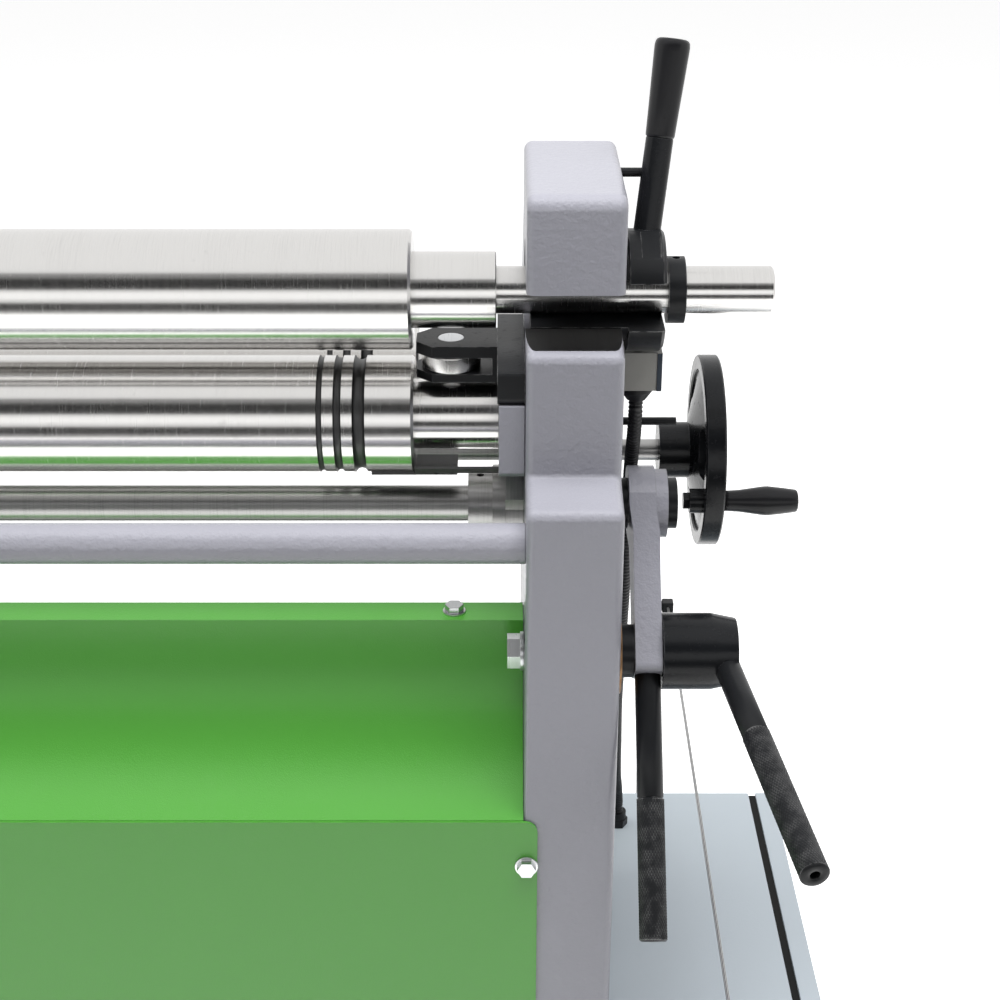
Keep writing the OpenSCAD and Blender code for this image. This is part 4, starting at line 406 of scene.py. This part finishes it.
strand_material, strand_tree, strand_shader = new_material("trip_cable", (0.42, 0.42, 0.42), 0.38, 0.7)
strand_where = coordinates(strand_tree)
strand_wave = strand_tree.nodes.new("ShaderNodeTexWave")
strand_wave.inputs["Scale"].default_value = 260
strand_wave.inputs["Distortion"].default_value = 0.4
join(strand_tree, strand_where, strand_wave.inputs["Vector"])
strand_tone = ramp(strand_tree, [(0.25, 0.16), (0.75, 0.6)])
join(strand_tree, strand_wave.outputs["Fac"], strand_tone.inputs[0])
join(strand_tree, strand_tone.outputs[0], strand_shader.inputs["Base Color"])
bump(strand_tree, strand_shader, strand_wave.outputs["Fac"], 0.8, 0.0003)
print("plastics and cable:", red_plastic.name, strand_material.name)

# %% [markdown]
# ## Dressing the CAD solids
# Most solids already have the right shape, but a solid from CAD has perfectly sharp edges and
# flat facets. A weld, a planar dissolve and a bevel modifier round the edges without touching
# the mesh itself, and smooth shading joins the facets of the round faces. Weighted normals
# then let each big flat face keep its own direction, or faint shades would fan out across it.

# %% Finishes for the CAD solids
WELD_DISTANCE = 0.00002
FLAT_ANGLE = math.radians(0.6)
SHARP_ANGLE = math.radians(32)


def keep_flats(thing):
    """Flat faces keep their own direction, so that no shade runs across them from a rounding."""
    flats = thing.modifiers.new("flat_faces", "WEIGHTED_NORMAL")
    flats.weight = 100
    flats.keep_sharp = True


def soften(thing, width_mm):
    """Rounds the sharp edges of an object with modifiers and shades it smooth."""
    for polygon in thing.data.polygons:
        polygon.use_smooth = True
    weld = thing.modifiers.new("weld", "WELD")
    weld.merge_threshold = WELD_DISTANCE
    flat = thing.modifiers.new("join_flats", "DECIMATE")
    flat.decimate_type = "DISSOLVE"
    flat.angle_limit = FLAT_ANGLE
    rim = thing.modifiers.new("edges", "BEVEL")
    rim.width = width_mm / 1000
    rim.segments = 2
    rim.limit_method = "ANGLE"
    rim.angle_limit = SHARP_ANGLE
    rim.harden_normals = True
    rim.use_clamp_overlap = True
    keep_flats(thing)


def wear_material(thing, material):
    thing.data.materials.clear()
    thing.data.materials.append(material)


FINISHES = {
    # node: (material, edge rounding in mm)
    "cone_roller": (ground_steel, 1.2), "tie_tube": (casting_enamel, 0.6),
    "cross_ties": (casting_enamel, 0.8), "lower_blocks": (casting_enamel, 1.5),
    "clamp_arm": (casting_enamel, 2.0), "slide_covers": (casting_enamel, 1.2),
    "trip_posts": (casting_enamel, 1.5), "upper_cover": (cover_coat, 0.5),
    "front_panel": (cover_coat, 0.6), "rear_panel": (cover_coat, 0.6),
    "drive_cover": (cover_coat, 2.0), "cover_screws": (bright_zinc, 0.6),
    "clamp_bolt": (bright_zinc, 1.0), "gearbox": (motor_enamel, 2.0), "motor": (motor_enamel, 1.0),
    "bearing_socket": (turned_steel, 1.0), "swing_ball": (turned_steel, 0.5),
    "top_gear": (turned_steel, 0.5), "lower_gear": (turned_steel, 0.5),
    "idler_gear": (turned_steel, 0.5), "drive_gear": (turned_steel, 0.5),
    "cams": (turned_steel, 1.0), "cam_shaft": (turned_steel, 1.0), "rear_blocks": (turned_steel, 1.0),
    "rear_screw_right": (turned_steel, 0.3), "rear_screw_left": (turned_steel, 0.3),
    "sync_shaft": (turned_steel, 0.4), "cone_pin": (bright_zinc, 0.8), "roll_guard": (dull_steel, 0.4),
    "door_lock": (bright_zinc, 0.8), "set_collar": (black_oxide, 1.4), "lock_hub": (black_oxide, 1.6),
    "lock_lever": (black_enamel, 0.8), "clamp_nut": (black_enamel, 1.6),
    "cone_bracket": (black_oxide, 1.6), "arm_washers": (oiled_bronze, 0.6),
    "handwheel": (black_enamel, 1.2), "index_pins": (black_oxide, 0.7),
    "conduit_glands": (gland_plastic, 1.2), "corner_guides": (gland_plastic, 1.0),
    "limit_switch": (switch_casing, 1.6), "switch_plunger": (ivory_plastic, 0.5),
    "cabinet": (cabinet_coat, 1.6), "cabinet_door": (cabinet_coat, 1.6),
    "switchgear": (ivory_plastic, 1.2), "main_switch": (red_plastic, 1.6),
    "stop_button": (red_plastic, 1.4), "start_button": (green_plastic, 1.0),
    "trip_switch": (red_plastic, 3.0),
}
for name, (material, rounding) in FINISHES.items():
    wear_material(nodes[name], material)
    soften(nodes[name], rounding)
print("dressed", len(FINISHES), "solids")

# %% [markdown]
# ## Second finishes on one solid
# A few nodes hold pieces of more than one material, such as the door and its rubber seal. They
# get a second material slot, and the faces that use it are found by where they lie.

# %% Second finishes
def second_finish(thing, material, chosen):
    """Gives a second material to the faces for which chosen(low corner, high corner) is true."""
    mesh = thing.data
    mesh.materials.append(material)
    count = 0
    for polygon in mesh.polygons:
        corners = [mesh.vertices[i].co for i in polygon.vertices]
        low = [min(c[axis] for c in corners) for axis in range(3)]
        high = [max(c[axis] for c in corners) for axis in range(3)]
        if chosen(low, high):
            polygon.material_index = len(mesh.materials) - 1
            count += 1
    print(thing.name, "faces in", material.name + ":", count)


OUTER_FACE, BRONZE_END, SWITCH_LID = 0.804, 0.8073, 0.8339
SEAL_FACE, DOOR_BACK = 0.978, 0.3025
for name in ("cams", "cam_shaft"):
    second_finish(nodes[name], black_oxide, lambda low, high: low[0] > OUTER_FACE + 0.0001)
second_finish(nodes["arm_washers"], black_oxide, lambda low, high: high[0] > BRONZE_END + 0.0001)
second_finish(nodes["limit_switch"], lid_plastic, lambda low, high: high[0] > SWITCH_LID + 0.0002)
second_finish(nodes["cabinet_door"], seal_rubber,
              lambda low, high: low[0] < SEAL_FACE and high[1] < DOOR_BACK)

# %% [markdown]
# ## Cast frames
# The two castings have big soft edges, much rounder than a machined part, because sand moulds
# can't hold a sharp corner. Only the outer contour is rounded like this: bores and guide
# windows are cut afterwards and stay crisp. So each frame is rebuilt from its solid in mesh
# code: the flats are joined, the contour's edges are found by where they lie, and only those
# are bevelled.

# %% Cast frames
INNER_X, OUTER_X = 0.7335, 0.804
SLOT_FLOOR, SLOT_LIP = 0.9815, -0.079
CAST_ROUNDING = 0.0065
FRAME_CONTOUR = [(-0.25, 0.0), (0.25, 0.0), (0.25, 0.025), (0.18, 0.025), (0.17, 0.1), (0.17, 0.97),
                 (0.09, 1.045), (0.09, 1.092), (-0.075, 1.092), (-0.075, 0.9815), (-0.088, 0.9815),
                 (-0.088, 0.886), (-0.135, 0.879), (-0.135, 0.1), (-0.145, 0.025), (-0.25, 0.025)]


def distance_to_contour(y, z, contour):
    best = 1.0
    point = Vector((y, z))
    for start, end in zip(contour, contour[1:] + contour[:1]):
        a, b = Vector(start), Vector(end)
        share = max(0.0, min(1.0, (point - a).dot(b - a) / (b - a).length_squared))
        best = min(best, (point - (a + (b - a) * share)).length)
    return best


def cast_frame(name, node):
    """A copy of a frame's solid with its contour's edges rounded."""
    mesh = nodes[node].data.copy()
    mesh.name = name
    build = bmesh.new()
    build.from_mesh(mesh)
    bmesh.ops.remove_doubles(build, verts=build.verts, dist=WELD_DISTANCE)
    bmesh.ops.dissolve_limit(build, angle_limit=FLAT_ANGLE, verts=build.verts, edges=build.edges)
    chosen = []
    for edge in build.edges:
        a, b = (v.co for v in edge.verts)
        on_side = any(max(abs(abs(a.x) - x), abs(abs(b.x) - x)) < 0.0002 for x in (INNER_X, OUTER_X))
        if not on_side or len(edge.link_faces) != 2:
            continue
        middle = (a + b) / 2
        near = all(distance_to_contour(p.y, p.z, FRAME_CONTOUR) < 0.0045 for p in (a, b, middle))
        if near and middle.z > 0.004 and edge.calc_face_angle(0) > 0.6:
            chosen.append(edge)
    bmesh.ops.bevel(build, geom=chosen, offset=CAST_ROUNDING, segments=5, profile=0.5,
                    affect="EDGES", clamp_overlap=False)
    build.to_mesh(mesh)
    build.free()
    piece = bpy.data.objects.new(name, mesh)
    bpy.context.scene.collection.objects.link(piece)
    for polygon in mesh.polygons:
        polygon.use_smooth = True
    mesh.set_sharp_from_angle(angle=SHARP_ANGLE)
    keep_flats(piece)
    wear_material(piece, casting_enamel)
    # the floor of the journal's slot is unpainted, and gets a dark steel
    mesh.materials.append(dull_steel)
    for polygon in mesh.polygons:
        middle = polygon.center
        if abs(middle.z - SLOT_FLOOR) < 0.001 and SLOT_LIP < middle.y < 0 and polygon.normal.z > 0.9:
            polygon.material_index = 1
    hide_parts(node)
    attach(piece, "base")
    print(name, "bevelled edges:", len(chosen), "faces:", len(mesh.polygons))


cast_frame("frame_right_cast", "frame_right")
cast_frame("frame_left_cast", "frame_left")

# %% [markdown]
# ## Turned levers with knurled grips
# The two black levers end in a knurled grip: two crossed spirals of fine grooves that leave
# small pyramids. The grip is a tube whose radius follows two crossed waves, fine enough to
# show real diamonds. The rest of the lever is a plain turned bar, made by the same ring
# builder, so that the whole lever is one mesh.

# %% Ring builder and levers
def frame_along(direction):
    """A rotation that takes Z to the direction."""
    return direction.normalized().to_track_quat("Z", "Y").to_matrix().to_4x4()


def rings_to_mesh(name, rings):
    """Joins rings of points, all of one length, into a tube with closed ends."""
    mesh = bpy.data.meshes.new(name)
    count = len(rings[0])
    points = [p for ring_points in rings for p in ring_points]
    faces = []
    for i in range(len(rings) - 1):
        for k in range(count):
            m = (k + 1) % count
            faces.append((i * count + k, i * count + m, (i + 1) * count + m, (i + 1) * count + k))
    last = (len(rings) - 1) * count
    faces.append(tuple(reversed(range(count))))
    faces.append(tuple(last + k for k in range(count)))
    mesh.from_pydata([tuple(p) for p in points], [], faces)
    mesh.update()
    for polygon in mesh.polygons:
        polygon.use_smooth = True
    piece = bpy.data.objects.new(name, mesh)
    bpy.context.scene.collection.objects.link(piece)
    return piece


def turned(name, base, direction, profile, sides=96):
    """A turned piece. The profile is (distance along, radius)."""
    place = Matrix.Translation(base) @ frame_along(direction)
    rings = []
    for along, radius in profile:
        rings.append([place @ Vector((radius * math.cos(2 * math.pi * k / sides),
                                      radius * math.sin(2 * math.pi * k / sides), along))
                      for k in range(sides)])
    return rings_to_mesh(name, rings)


def knurl(angle, along, starts, pitch):
    """Height, 0 to 1, of a diamond knurl at an angle and a distance along."""
    a = abs(((angle * starts / (2 * math.pi) + along / pitch) % 1.0) - 0.5) * 2
    b = abs(((angle * starts / (2 * math.pi) - along / pitch) % 1.0) - 0.5) * 2
    return min(1.0, 1.5 * min(a, b))


def knurled_lever(name, base, direction, bar_radius, bar_length, grip_radius, grip_length,
                  hole_radius, hole_depth, material, replaced, body):
    """A bar, then a knurled grip with chamfered ends and a centre hole in its end."""
    starts, pitch, depth = 30, 0.0042, 0.0006
    sides = starts * 6
    place = Matrix.Translation(base) @ frame_along(direction)
    # a station is the distance along, the radius, and whether the knurl cuts it
    stations = [(0.0, bar_radius, 0), (bar_length * 0.5, bar_radius, 0),
                (bar_length - 0.0006, bar_radius, 0), (bar_length, grip_radius - 0.0012, 0),
                (bar_length + 0.0012, grip_radius, 0)]
    step = pitch / 6
    count = int((grip_length - 0.0032) / step)
    stations += [(bar_length + 0.0016 + i * step, grip_radius, 1) for i in range(count + 1)]
    end = bar_length + grip_length
    stations += [(end - 0.0014, grip_radius, 0), (end, grip_radius - 0.0014, 0),
                 (end, hole_radius + 0.0006, 0), (end - 0.0006, hole_radius, 0),
                 (end - hole_depth, hole_radius, 0), (end - hole_depth, 0.0002, 0)]
    rings = []
    for along, radius, cut in stations:
        ring_points = []
        for k in range(sides):
            angle = 2 * math.pi * k / sides
            r = radius - (depth * (1 - knurl(angle, along, starts, pitch)) if cut else 0)
            ring_points.append(place @ Vector((r * math.cos(angle), r * math.sin(angle), along)))
        rings.append(ring_points)
    piece = rings_to_mesh(name, rings)
    piece.data.set_sharp_from_angle(angle=math.radians(50))
    wear_material(piece, material)
    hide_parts(replaced)
    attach(piece, body)
    print(name, "faces:", len(piece.data.polygons))


CAM_AXIS = Vector((0.8285, 0.0, 0.8235))
ARM_LEAN = math.radians(40.6)
down_arm = Vector((0, -math.sin(ARM_LEAN), -math.cos(ARM_LEAN)))
PULL_START, PULL_END, GRIP_LENGTH = 0.133, 0.336, 0.1055
knurled_lever("pull_lever_knurled", CAM_AXIS + down_arm * PULL_START, down_arm, 0.010,
              PULL_END - GRIP_LENGTH - PULL_START, 0.0105, GRIP_LENGTH, 0.0032, 0.010,
              black_oxide, "pull_lever", "clamp_arm_body")

BOLT_PLACE = Vector((0.885, -0.118 * math.sin(ARM_LEAN), 0.8235 - 0.118 * math.cos(ARM_LEAN)))
clamp_way = Vector((0.15, -0.982, -0.117)).normalized()
CLAMP_START, CLAMP_END, CLAMP_GRIP = 0.016, 0.247, 0.144
knurled_lever("clamp_lever_knurled", BOLT_PLACE + clamp_way * CLAMP_START, clamp_way, 0.010,
              CLAMP_END - CLAMP_GRIP - CLAMP_START, 0.0105, CLAMP_GRIP, 0.0034, 0.010,
              black_oxide, "clamp_lever", "clamp_nut_body")

# %% [markdown]
# ## Lock grip and crank grip
# Both grips are turned plastic. The lock grip swells towards its end and has a small round at
# each rim. The crank grip swells to a crisp ridge past its middle and tapers to a flat nose.
# A list of distances and radii is enough to turn each of them.

# %% Turned grips
LOCK_TILT, LOCK_LEAN = math.radians(7), math.radians(14)
lock_way = Vector((math.sin(LOCK_TILT), math.cos(LOCK_TILT) * math.sin(LOCK_LEAN),
                   math.cos(LOCK_TILT) * math.cos(LOCK_LEAN)))
lock_start = Vector((0.8186, 0, 1.0)) + lock_way * 0.112
lock_grip = turned("lock_grip_turned", lock_start, lock_way, [
    (0.0, 0.0015), (0.0, 0.0097), (0.0008, 0.0105), (0.002, 0.0108), (0.021, 0.0114), (0.042, 0.0122),
    (0.061, 0.0129), (0.0655, 0.0130), (0.0684, 0.0126), (0.0700, 0.0116), (0.0708, 0.0100),
    (0.0710, 0.0015)])
lock_grip.data.set_sharp_from_angle(angle=math.radians(40))
wear_material(lock_grip, black_plastic)
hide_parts("lock_grip")
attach(lock_grip, "lock")

CRANK_ANGLE, CRANK_REACH = math.radians(196.7), 0.064
crank_start = Vector((0.8975, 0.107 + CRANK_REACH * math.cos(CRANK_ANGLE),
                      0.822 + CRANK_REACH * math.sin(CRANK_ANGLE)))
crank_grip = turned("crank_grip_turned", crank_start, Vector((1, 0, 0)), [
    (0.0, 0.0056), (0.0, 0.0078), (0.0006, 0.0084), (0.004, 0.0085), (0.012, 0.0090), (0.022, 0.0104),
    (0.031, 0.0117), (0.0340, 0.0120), (0.0346, 0.0119), (0.0352, 0.0120), (0.044, 0.0111),
    (0.052, 0.0101), (0.0583, 0.0092), (0.0595, 0.0084), (0.0600, 0.0070), (0.0600, 0.0015)])
crank_grip.data.set_sharp_from_angle(angle=math.radians(45))
wear_material(crank_grip, black_plastic)
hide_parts("crank_grip")
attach(crank_grip, "crank")
print("grips:", lock_grip.name, crank_grip.name)

# %% [markdown]
# ## Ground rolls
# The rolls carry the strongest reflections in the picture, so facets would show at once. Each
# is turned again from its list of steps with many sides. Two of them have three grooves near
# the right end, round in section, in which bent wire can lie. The faces in the grooves get a
# darker steel.

# %% Rolls
BODY_X, ROLL_R, ROLL_CHAMFER = 650.0, 45.0, 2.0
# each groove: distance from the end of the roll's body, and radius of its wire
GROOVES = [(70.5, 2.3), (57.0, 3.2), (41.0, 5.0)]
GROOVES_FROM = 0.4
HALF_GROOVE = 6


def groove_steps():
    """The round grooves as steps along the roll, in millimetres."""
    steps = []
    for inset, radius in GROOVES:
        for i in range(2 * HALF_GROOVE + 1):
            turn = math.acos(1 / 3) * (i - HALF_GROOVE) / HALF_GROOVE
            steps.append((BODY_X - inset + radius * math.sin(turn),
                          ROLL_R + radius / 3 - radius * math.cos(turn)))
    return steps


def ground_roll(name, node, body, y, z, left, right, grooved):
    """A roll along X. Left and right are the steps (x, radius) outside its body, in millimetres."""
    middle = groove_steps() if grooved else []
    steps = left + [(-BODY_X, ROLL_R - ROLL_CHAMFER), (-BODY_X + ROLL_CHAMFER, ROLL_R)] + middle
    steps += [(BODY_X - ROLL_CHAMFER, ROLL_R), (BODY_X, ROLL_R - ROLL_CHAMFER)] + right
    profile = [(x / 1000, r / 1000) for x, r in steps]
    piece = turned(name, Vector((0, y, z)), Vector((1, 0, 0)), profile, 160)
    piece.data.set_sharp_from_angle(angle=math.radians(30))
    wear_material(piece, ground_steel)
    piece.data.materials.append(dull_steel)
    for polygon in piece.data.polygons:
        place = polygon.center
        deep = math.hypot(place.y - y, place.z - z) < ROLL_R / 1000 - 0.0002
        if grooved and deep and GROOVES_FROM < place.x < (BODY_X - 2 * ROLL_CHAMFER) / 1000:
            polygon.material_index = 1
    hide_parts(node)
    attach(piece, body)
    print(name, "steps:", len(steps))


ground_roll("top_roll_ground", "top_roll", "top_roll_body", 0, 1.0,
            [(-837, 0.3), (-837, 18.5), (-835.5, 20), (-721.5, 20), (-721.5, 28), (-721, 28.5), (-650, 28.5)],
            [(650, 28.5), (711.6, 28.5), (712.2, 27.9), (712.2, 17.75), (916.5, 17.75), (918, 16.25),
             (918, 0.3)], False)
ground_roll("lower_roll_ground", "lower_roll", "lower_roll_body", 0, 0.9,
            [(-837, 0.3), (-837, 20), (-713.7, 20), (-713.7, 27), (-650, 27)],
            [(650, 27), (713.7, 27), (713.7, 20), (790, 20), (790, 0.3)], True)
ground_roll("rear_roll_ground", "rear_roll", "rear_roll_body", 0.0969795, 0.8932993,
            [(-770, 0.3), (-770, 17.5), (-712.2, 17.5), (-712.2, 27), (-650, 27)],
            [(650, 27), (712.2, 27), (712.2, 17.5), (770, 17.5), (770, 0.3)], True)

# %% [markdown]
# ## Ribbed conduit
# The cable of the limit switch runs in a ribbed plastic conduit down to the cabinet. It
# leaves the gland straight down, swings back past the clamp arm and hangs in a slack curve.
# The centre line is a smooth curve through a few places, and rings with a rounded rib profile
# follow it.

# %% Conduit
CONDUIT_TOP = Vector((0.820, 0.010, 0.9085))
CONDUIT_PLACES_MM = [
    (0, 0, 0), (0, 0, -6), (0, 0, -12), (0, 7, -34), (0, 22, -58), (0, 35, -90), (0, 44, -130), (0, 56, -190),
    (0, 78, -260), (1, 112, -340), (5, 156, -415), (9, 200, -478), (13, 228, -518),
    (15, 239, -541.5), (15, 239, -547.5), (15, 239, -553.5)]


def smooth_path(places, step):
    """Points about one step apart on a smooth curve through the places."""
    path = []
    last = len(places) - 1
    for i in range(last):
        a, b, c, d = (places[max(i - 1, 0)], places[i], places[i + 1], places[min(i + 2, last)])
        count = max(1, round((c - b).length / step))
        for j in range(count):
            t = j / count
            path.append(0.5 * (2 * b + (c - a) * t + (2 * a - 5 * b + 4 * c - d) * t ** 2
                               + (3 * b - a - 3 * c + d) * t ** 3))
    path.append(places[-1].copy())
    return path


def tube_along(name, path, radii, sides, side_axis):
    """A closed tube along a path, with one radius for each point."""
    rings = []
    for i, point in enumerate(path):
        way = (path[min(i + 1, len(path) - 1)] - path[max(i - 1, 0)]).normalized()
        u = way.cross(side_axis).normalized()
        v = way.cross(u)
        rings.append([point + radii[i] * (math.cos(2 * math.pi * k / sides) * u
                                          + math.sin(2 * math.pi * k / sides) * v) for k in range(sides)])
    return rings_to_mesh(name, rings)


conduit_places = [CONDUIT_TOP + Vector(p) / 1000 for p in CONDUIT_PLACES_MM]
RING_STEP, RIB_PITCH = 0.00062, 0.0036
RIB_FOOT, RIB_HEIGHT = 0.0047, 0.0010
conduit_path = smooth_path(conduit_places, RING_STEP)
conduit_radii = []
travelled = 0.0
for i, point in enumerate(conduit_path):
    travelled += (point - conduit_path[i - 1]).length if i else 0
    rib = 0.5 + 0.5 * math.cos(2 * math.pi * travelled / RIB_PITCH)
    conduit_radii.append(RIB_FOOT + RIB_HEIGHT * rib ** 0.6)
conduit = tube_along("conduit_ribbed", conduit_path, conduit_radii, 20, Vector((1, 0, 0)))
wear_material(conduit, hose_plastic)
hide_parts("conduit")
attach(conduit, "base")

# %% [markdown]
# ## Trip cable
# A thin steel cable runs round the machine at knee height: from an anchor at the right rear
# post, round two grooved guides in front and back to a switch. It is taut, so its way is
# straight lines with two small turns.

# %% Trip cable
WIRE_RIGHT, WIRE_LEFT, WIRE_FRONT, WIRE_BACK = 0.897, -1.040, -0.400, 0.430
WIRE_HEIGHT, WIRE_RISE, WIRE_TURN, WIRE_RADIUS = 0.447, 0.044, 0.0198, 0.0015
TURN_STEPS = 8
turn_y = WIRE_FRONT + WIRE_TURN
wire_places = [Vector((WIRE_RIGHT, WIRE_BACK, WIRE_HEIGHT + WIRE_RISE))]
for i in range(TURN_STEPS + 1):
    a = math.radians(90 * i / TURN_STEPS)
    wire_places.append(Vector((WIRE_RIGHT - WIRE_TURN + WIRE_TURN * math.cos(a),
                               turn_y - WIRE_TURN * math.sin(a), WIRE_HEIGHT)))
for i in range(TURN_STEPS + 1):
    a = math.radians(90 * i / TURN_STEPS)
    wire_places.append(Vector((WIRE_LEFT + WIRE_TURN - WIRE_TURN * math.sin(a),
                               turn_y - WIRE_TURN * math.cos(a), WIRE_HEIGHT)))
wire_places.append(Vector((WIRE_LEFT, WIRE_BACK, WIRE_HEIGHT + WIRE_RISE)))


def subdivided(path, step):
    """The same path with points about one step apart."""
    finer = []
    for a, b in zip(path, path[1:]):
        count = max(1, round((b - a).length / step))
        finer += [a.lerp(b, j / count) for j in range(count)]
    return finer + [path[-1]]


wire_path = subdivided(wire_places, 0.05)
trip_cable = tube_along("trip_cable", wire_path, [WIRE_RADIUS] * len(wire_path), 12, Vector((0, 0, 1)))
wear_material(trip_cable, strand_material)
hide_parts("trip_wire")
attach(trip_cable, "base")

# %% [markdown]
# ## Studio
# The photograph is a cut-out on white, lit by big soft boxes. A pale floor, a white world and
# three large area lamps do the same. Grey and black sheets hang where a photographer would hang
# flags: they draw the dark bands that make ground steel look like steel. Only reflections see
# them.

# %% Floor, world and lamps
FLOOR_HALF, FLOOR_HEIGHT = 14, -0.0005
floor_mesh = bpy.data.meshes.new("studio_floor")
floor_mesh.from_pydata([(x * FLOOR_HALF, y * FLOOR_HALF, FLOOR_HEIGHT)
                        for x, y in ((-1, -1), (1, -1), (1, 1), (-1, 1))], [], [(0, 1, 2, 3)])
studio_floor = bpy.data.objects.new("studio_floor", floor_mesh)
bpy.context.scene.collection.objects.link(studio_floor)
floor_material, floor_tree, floor_shader = new_material("pale_floor", (0.86, 0.86, 0.86), 0.9)
floor_paths = floor_tree.nodes.new("ShaderNodeLightPath")
floor_glow = floor_tree.nodes.new("ShaderNodeEmission")
floor_glow.inputs["Strength"].default_value = 0.7
floor_sum = floor_tree.nodes.new("ShaderNodeAddShader")
floor_pick = floor_tree.nodes.new("ShaderNodeMixShader")
floor_seen = math_node(floor_tree, "MAXIMUM", floor_paths.outputs["Is Camera Ray"],
                       floor_paths.outputs["Is Glossy Ray"])
join(floor_tree, floor_shader.outputs[0], floor_sum.inputs[0])
join(floor_tree, floor_glow.outputs[0], floor_sum.inputs[1])
join(floor_tree, floor_seen, floor_pick.inputs[0])
join(floor_tree, floor_shader.outputs[0], floor_pick.inputs[1])
join(floor_tree, floor_sum.outputs[0], floor_pick.inputs[2])
join(floor_tree, floor_pick.outputs[0], floor_tree.nodes["Material Output"].inputs["Surface"])
wear_material(studio_floor, floor_material)

world = bpy.data.worlds.new("white_studio")
bpy.context.scene.world = world
world.use_nodes = True
world_tree = world.node_tree
world_back = world_tree.nodes["Background"]
world_back.inputs["Color"].default_value = (1, 1, 1, 1)
world_paths = world_tree.nodes.new("ShaderNodeLightPath")
world_seen = math_node(world_tree, "MAXIMUM", world_paths.outputs["Is Camera Ray"],
                       math_node(world_tree, "MAXIMUM", world_paths.outputs["Is Glossy Ray"],
                                 world_paths.outputs["Is Transmission Ray"]))
# the world is white to look at, but lights the machine only a little
WORLD_LIGHT = 0.22
world_strength = math_node(world_tree, "MULTIPLY_ADD", world_seen, 1 - WORLD_LIGHT)
world_strength.node.inputs[2].default_value = WORLD_LIGHT
join(world_tree, world_strength, world_back.inputs["Strength"])


def soft_box(name, place, aim, size, watts):
    lamp = bpy.data.lights.new(name, "AREA")
    lamp.shape = "RECTANGLE"
    lamp.size, lamp.size_y = size
    lamp.energy = watts
    holder = bpy.data.objects.new(name, lamp)
    holder.location = place
    holder.rotation_euler = (Vector(aim) - Vector(place)).to_track_quat("-Z", "Y").to_euler()
    # the steel mirrors the white surroundings and the flags, not the lamps
    holder.visible_glossy = False
    bpy.context.scene.collection.objects.link(holder)


soft_box("top_box", (0.6, -0.4, 3.2), (0.6, 0, 0.8), (3.0, 1.6), 145)
soft_box("left_box", (-2.6, -2.2, 2.2), (0.6, 0, 0.7), (1.6, 2.2), 9)
soft_box("right_box", (3.6, -1.6, 2.0), (0.8, 0, 0.7), (1.6, 2.2), 9)


FLAG_STEPS, FLAG_HALF, FLAG_CENTRE = 12, 3.2, 0.97


def flag(name, distance, low, high, grey):
    """A long sheet bent round the rolls, between two heights in degrees above the front."""
    mesh = bpy.data.meshes.new(name)
    points = []
    for i in range(FLAG_STEPS + 1):
        turn = math.radians(low + (high - low) * i / FLAG_STEPS)
        y, z = -distance * math.cos(turn), FLAG_CENTRE + distance * math.sin(turn)
        points += [(-FLAG_HALF, y, z), (FLAG_HALF, y, z)]
    mesh.from_pydata(points, [], [(2 * i, 2 * i + 1, 2 * i + 3, 2 * i + 2) for i in range(FLAG_STEPS)])
    sheet = bpy.data.objects.new(name, mesh)
    bpy.context.scene.collection.objects.link(sheet)
    cloth, _, cloth_shader = new_material(name + "_cloth", (0, 0, 0), 1.0)
    cloth_shader.inputs["Emission Color"].default_value = (grey, grey, grey, 1)
    cloth_shader.inputs["Emission Strength"].default_value = 1.0
    cloth_shader.inputs["Specular IOR Level"].default_value = 0.0
    wear_material(sheet, cloth)
    for ray in ("camera", "diffuse", "shadow", "transmission", "volume_scatter"):
        setattr(sheet, "visible_" + ray, False)


flag("flag_camera", 2.0, 19, 40, 0.03)
flag("flag_camera_rim", 2.0, 40, 50, 0.25)
flag("strip_front", 2.2, 2, 14, 1.3)
flag("flag_low", 2.2, -20, -5, 0.04)
flag("flag_low_rim", 2.2, -27, -20, 0.30)
flag("flag_floor", 2.3, -66, -28, 0.88)
flag("flag_under", 2.2, -110, -70, 0.45)
print("studio ready")
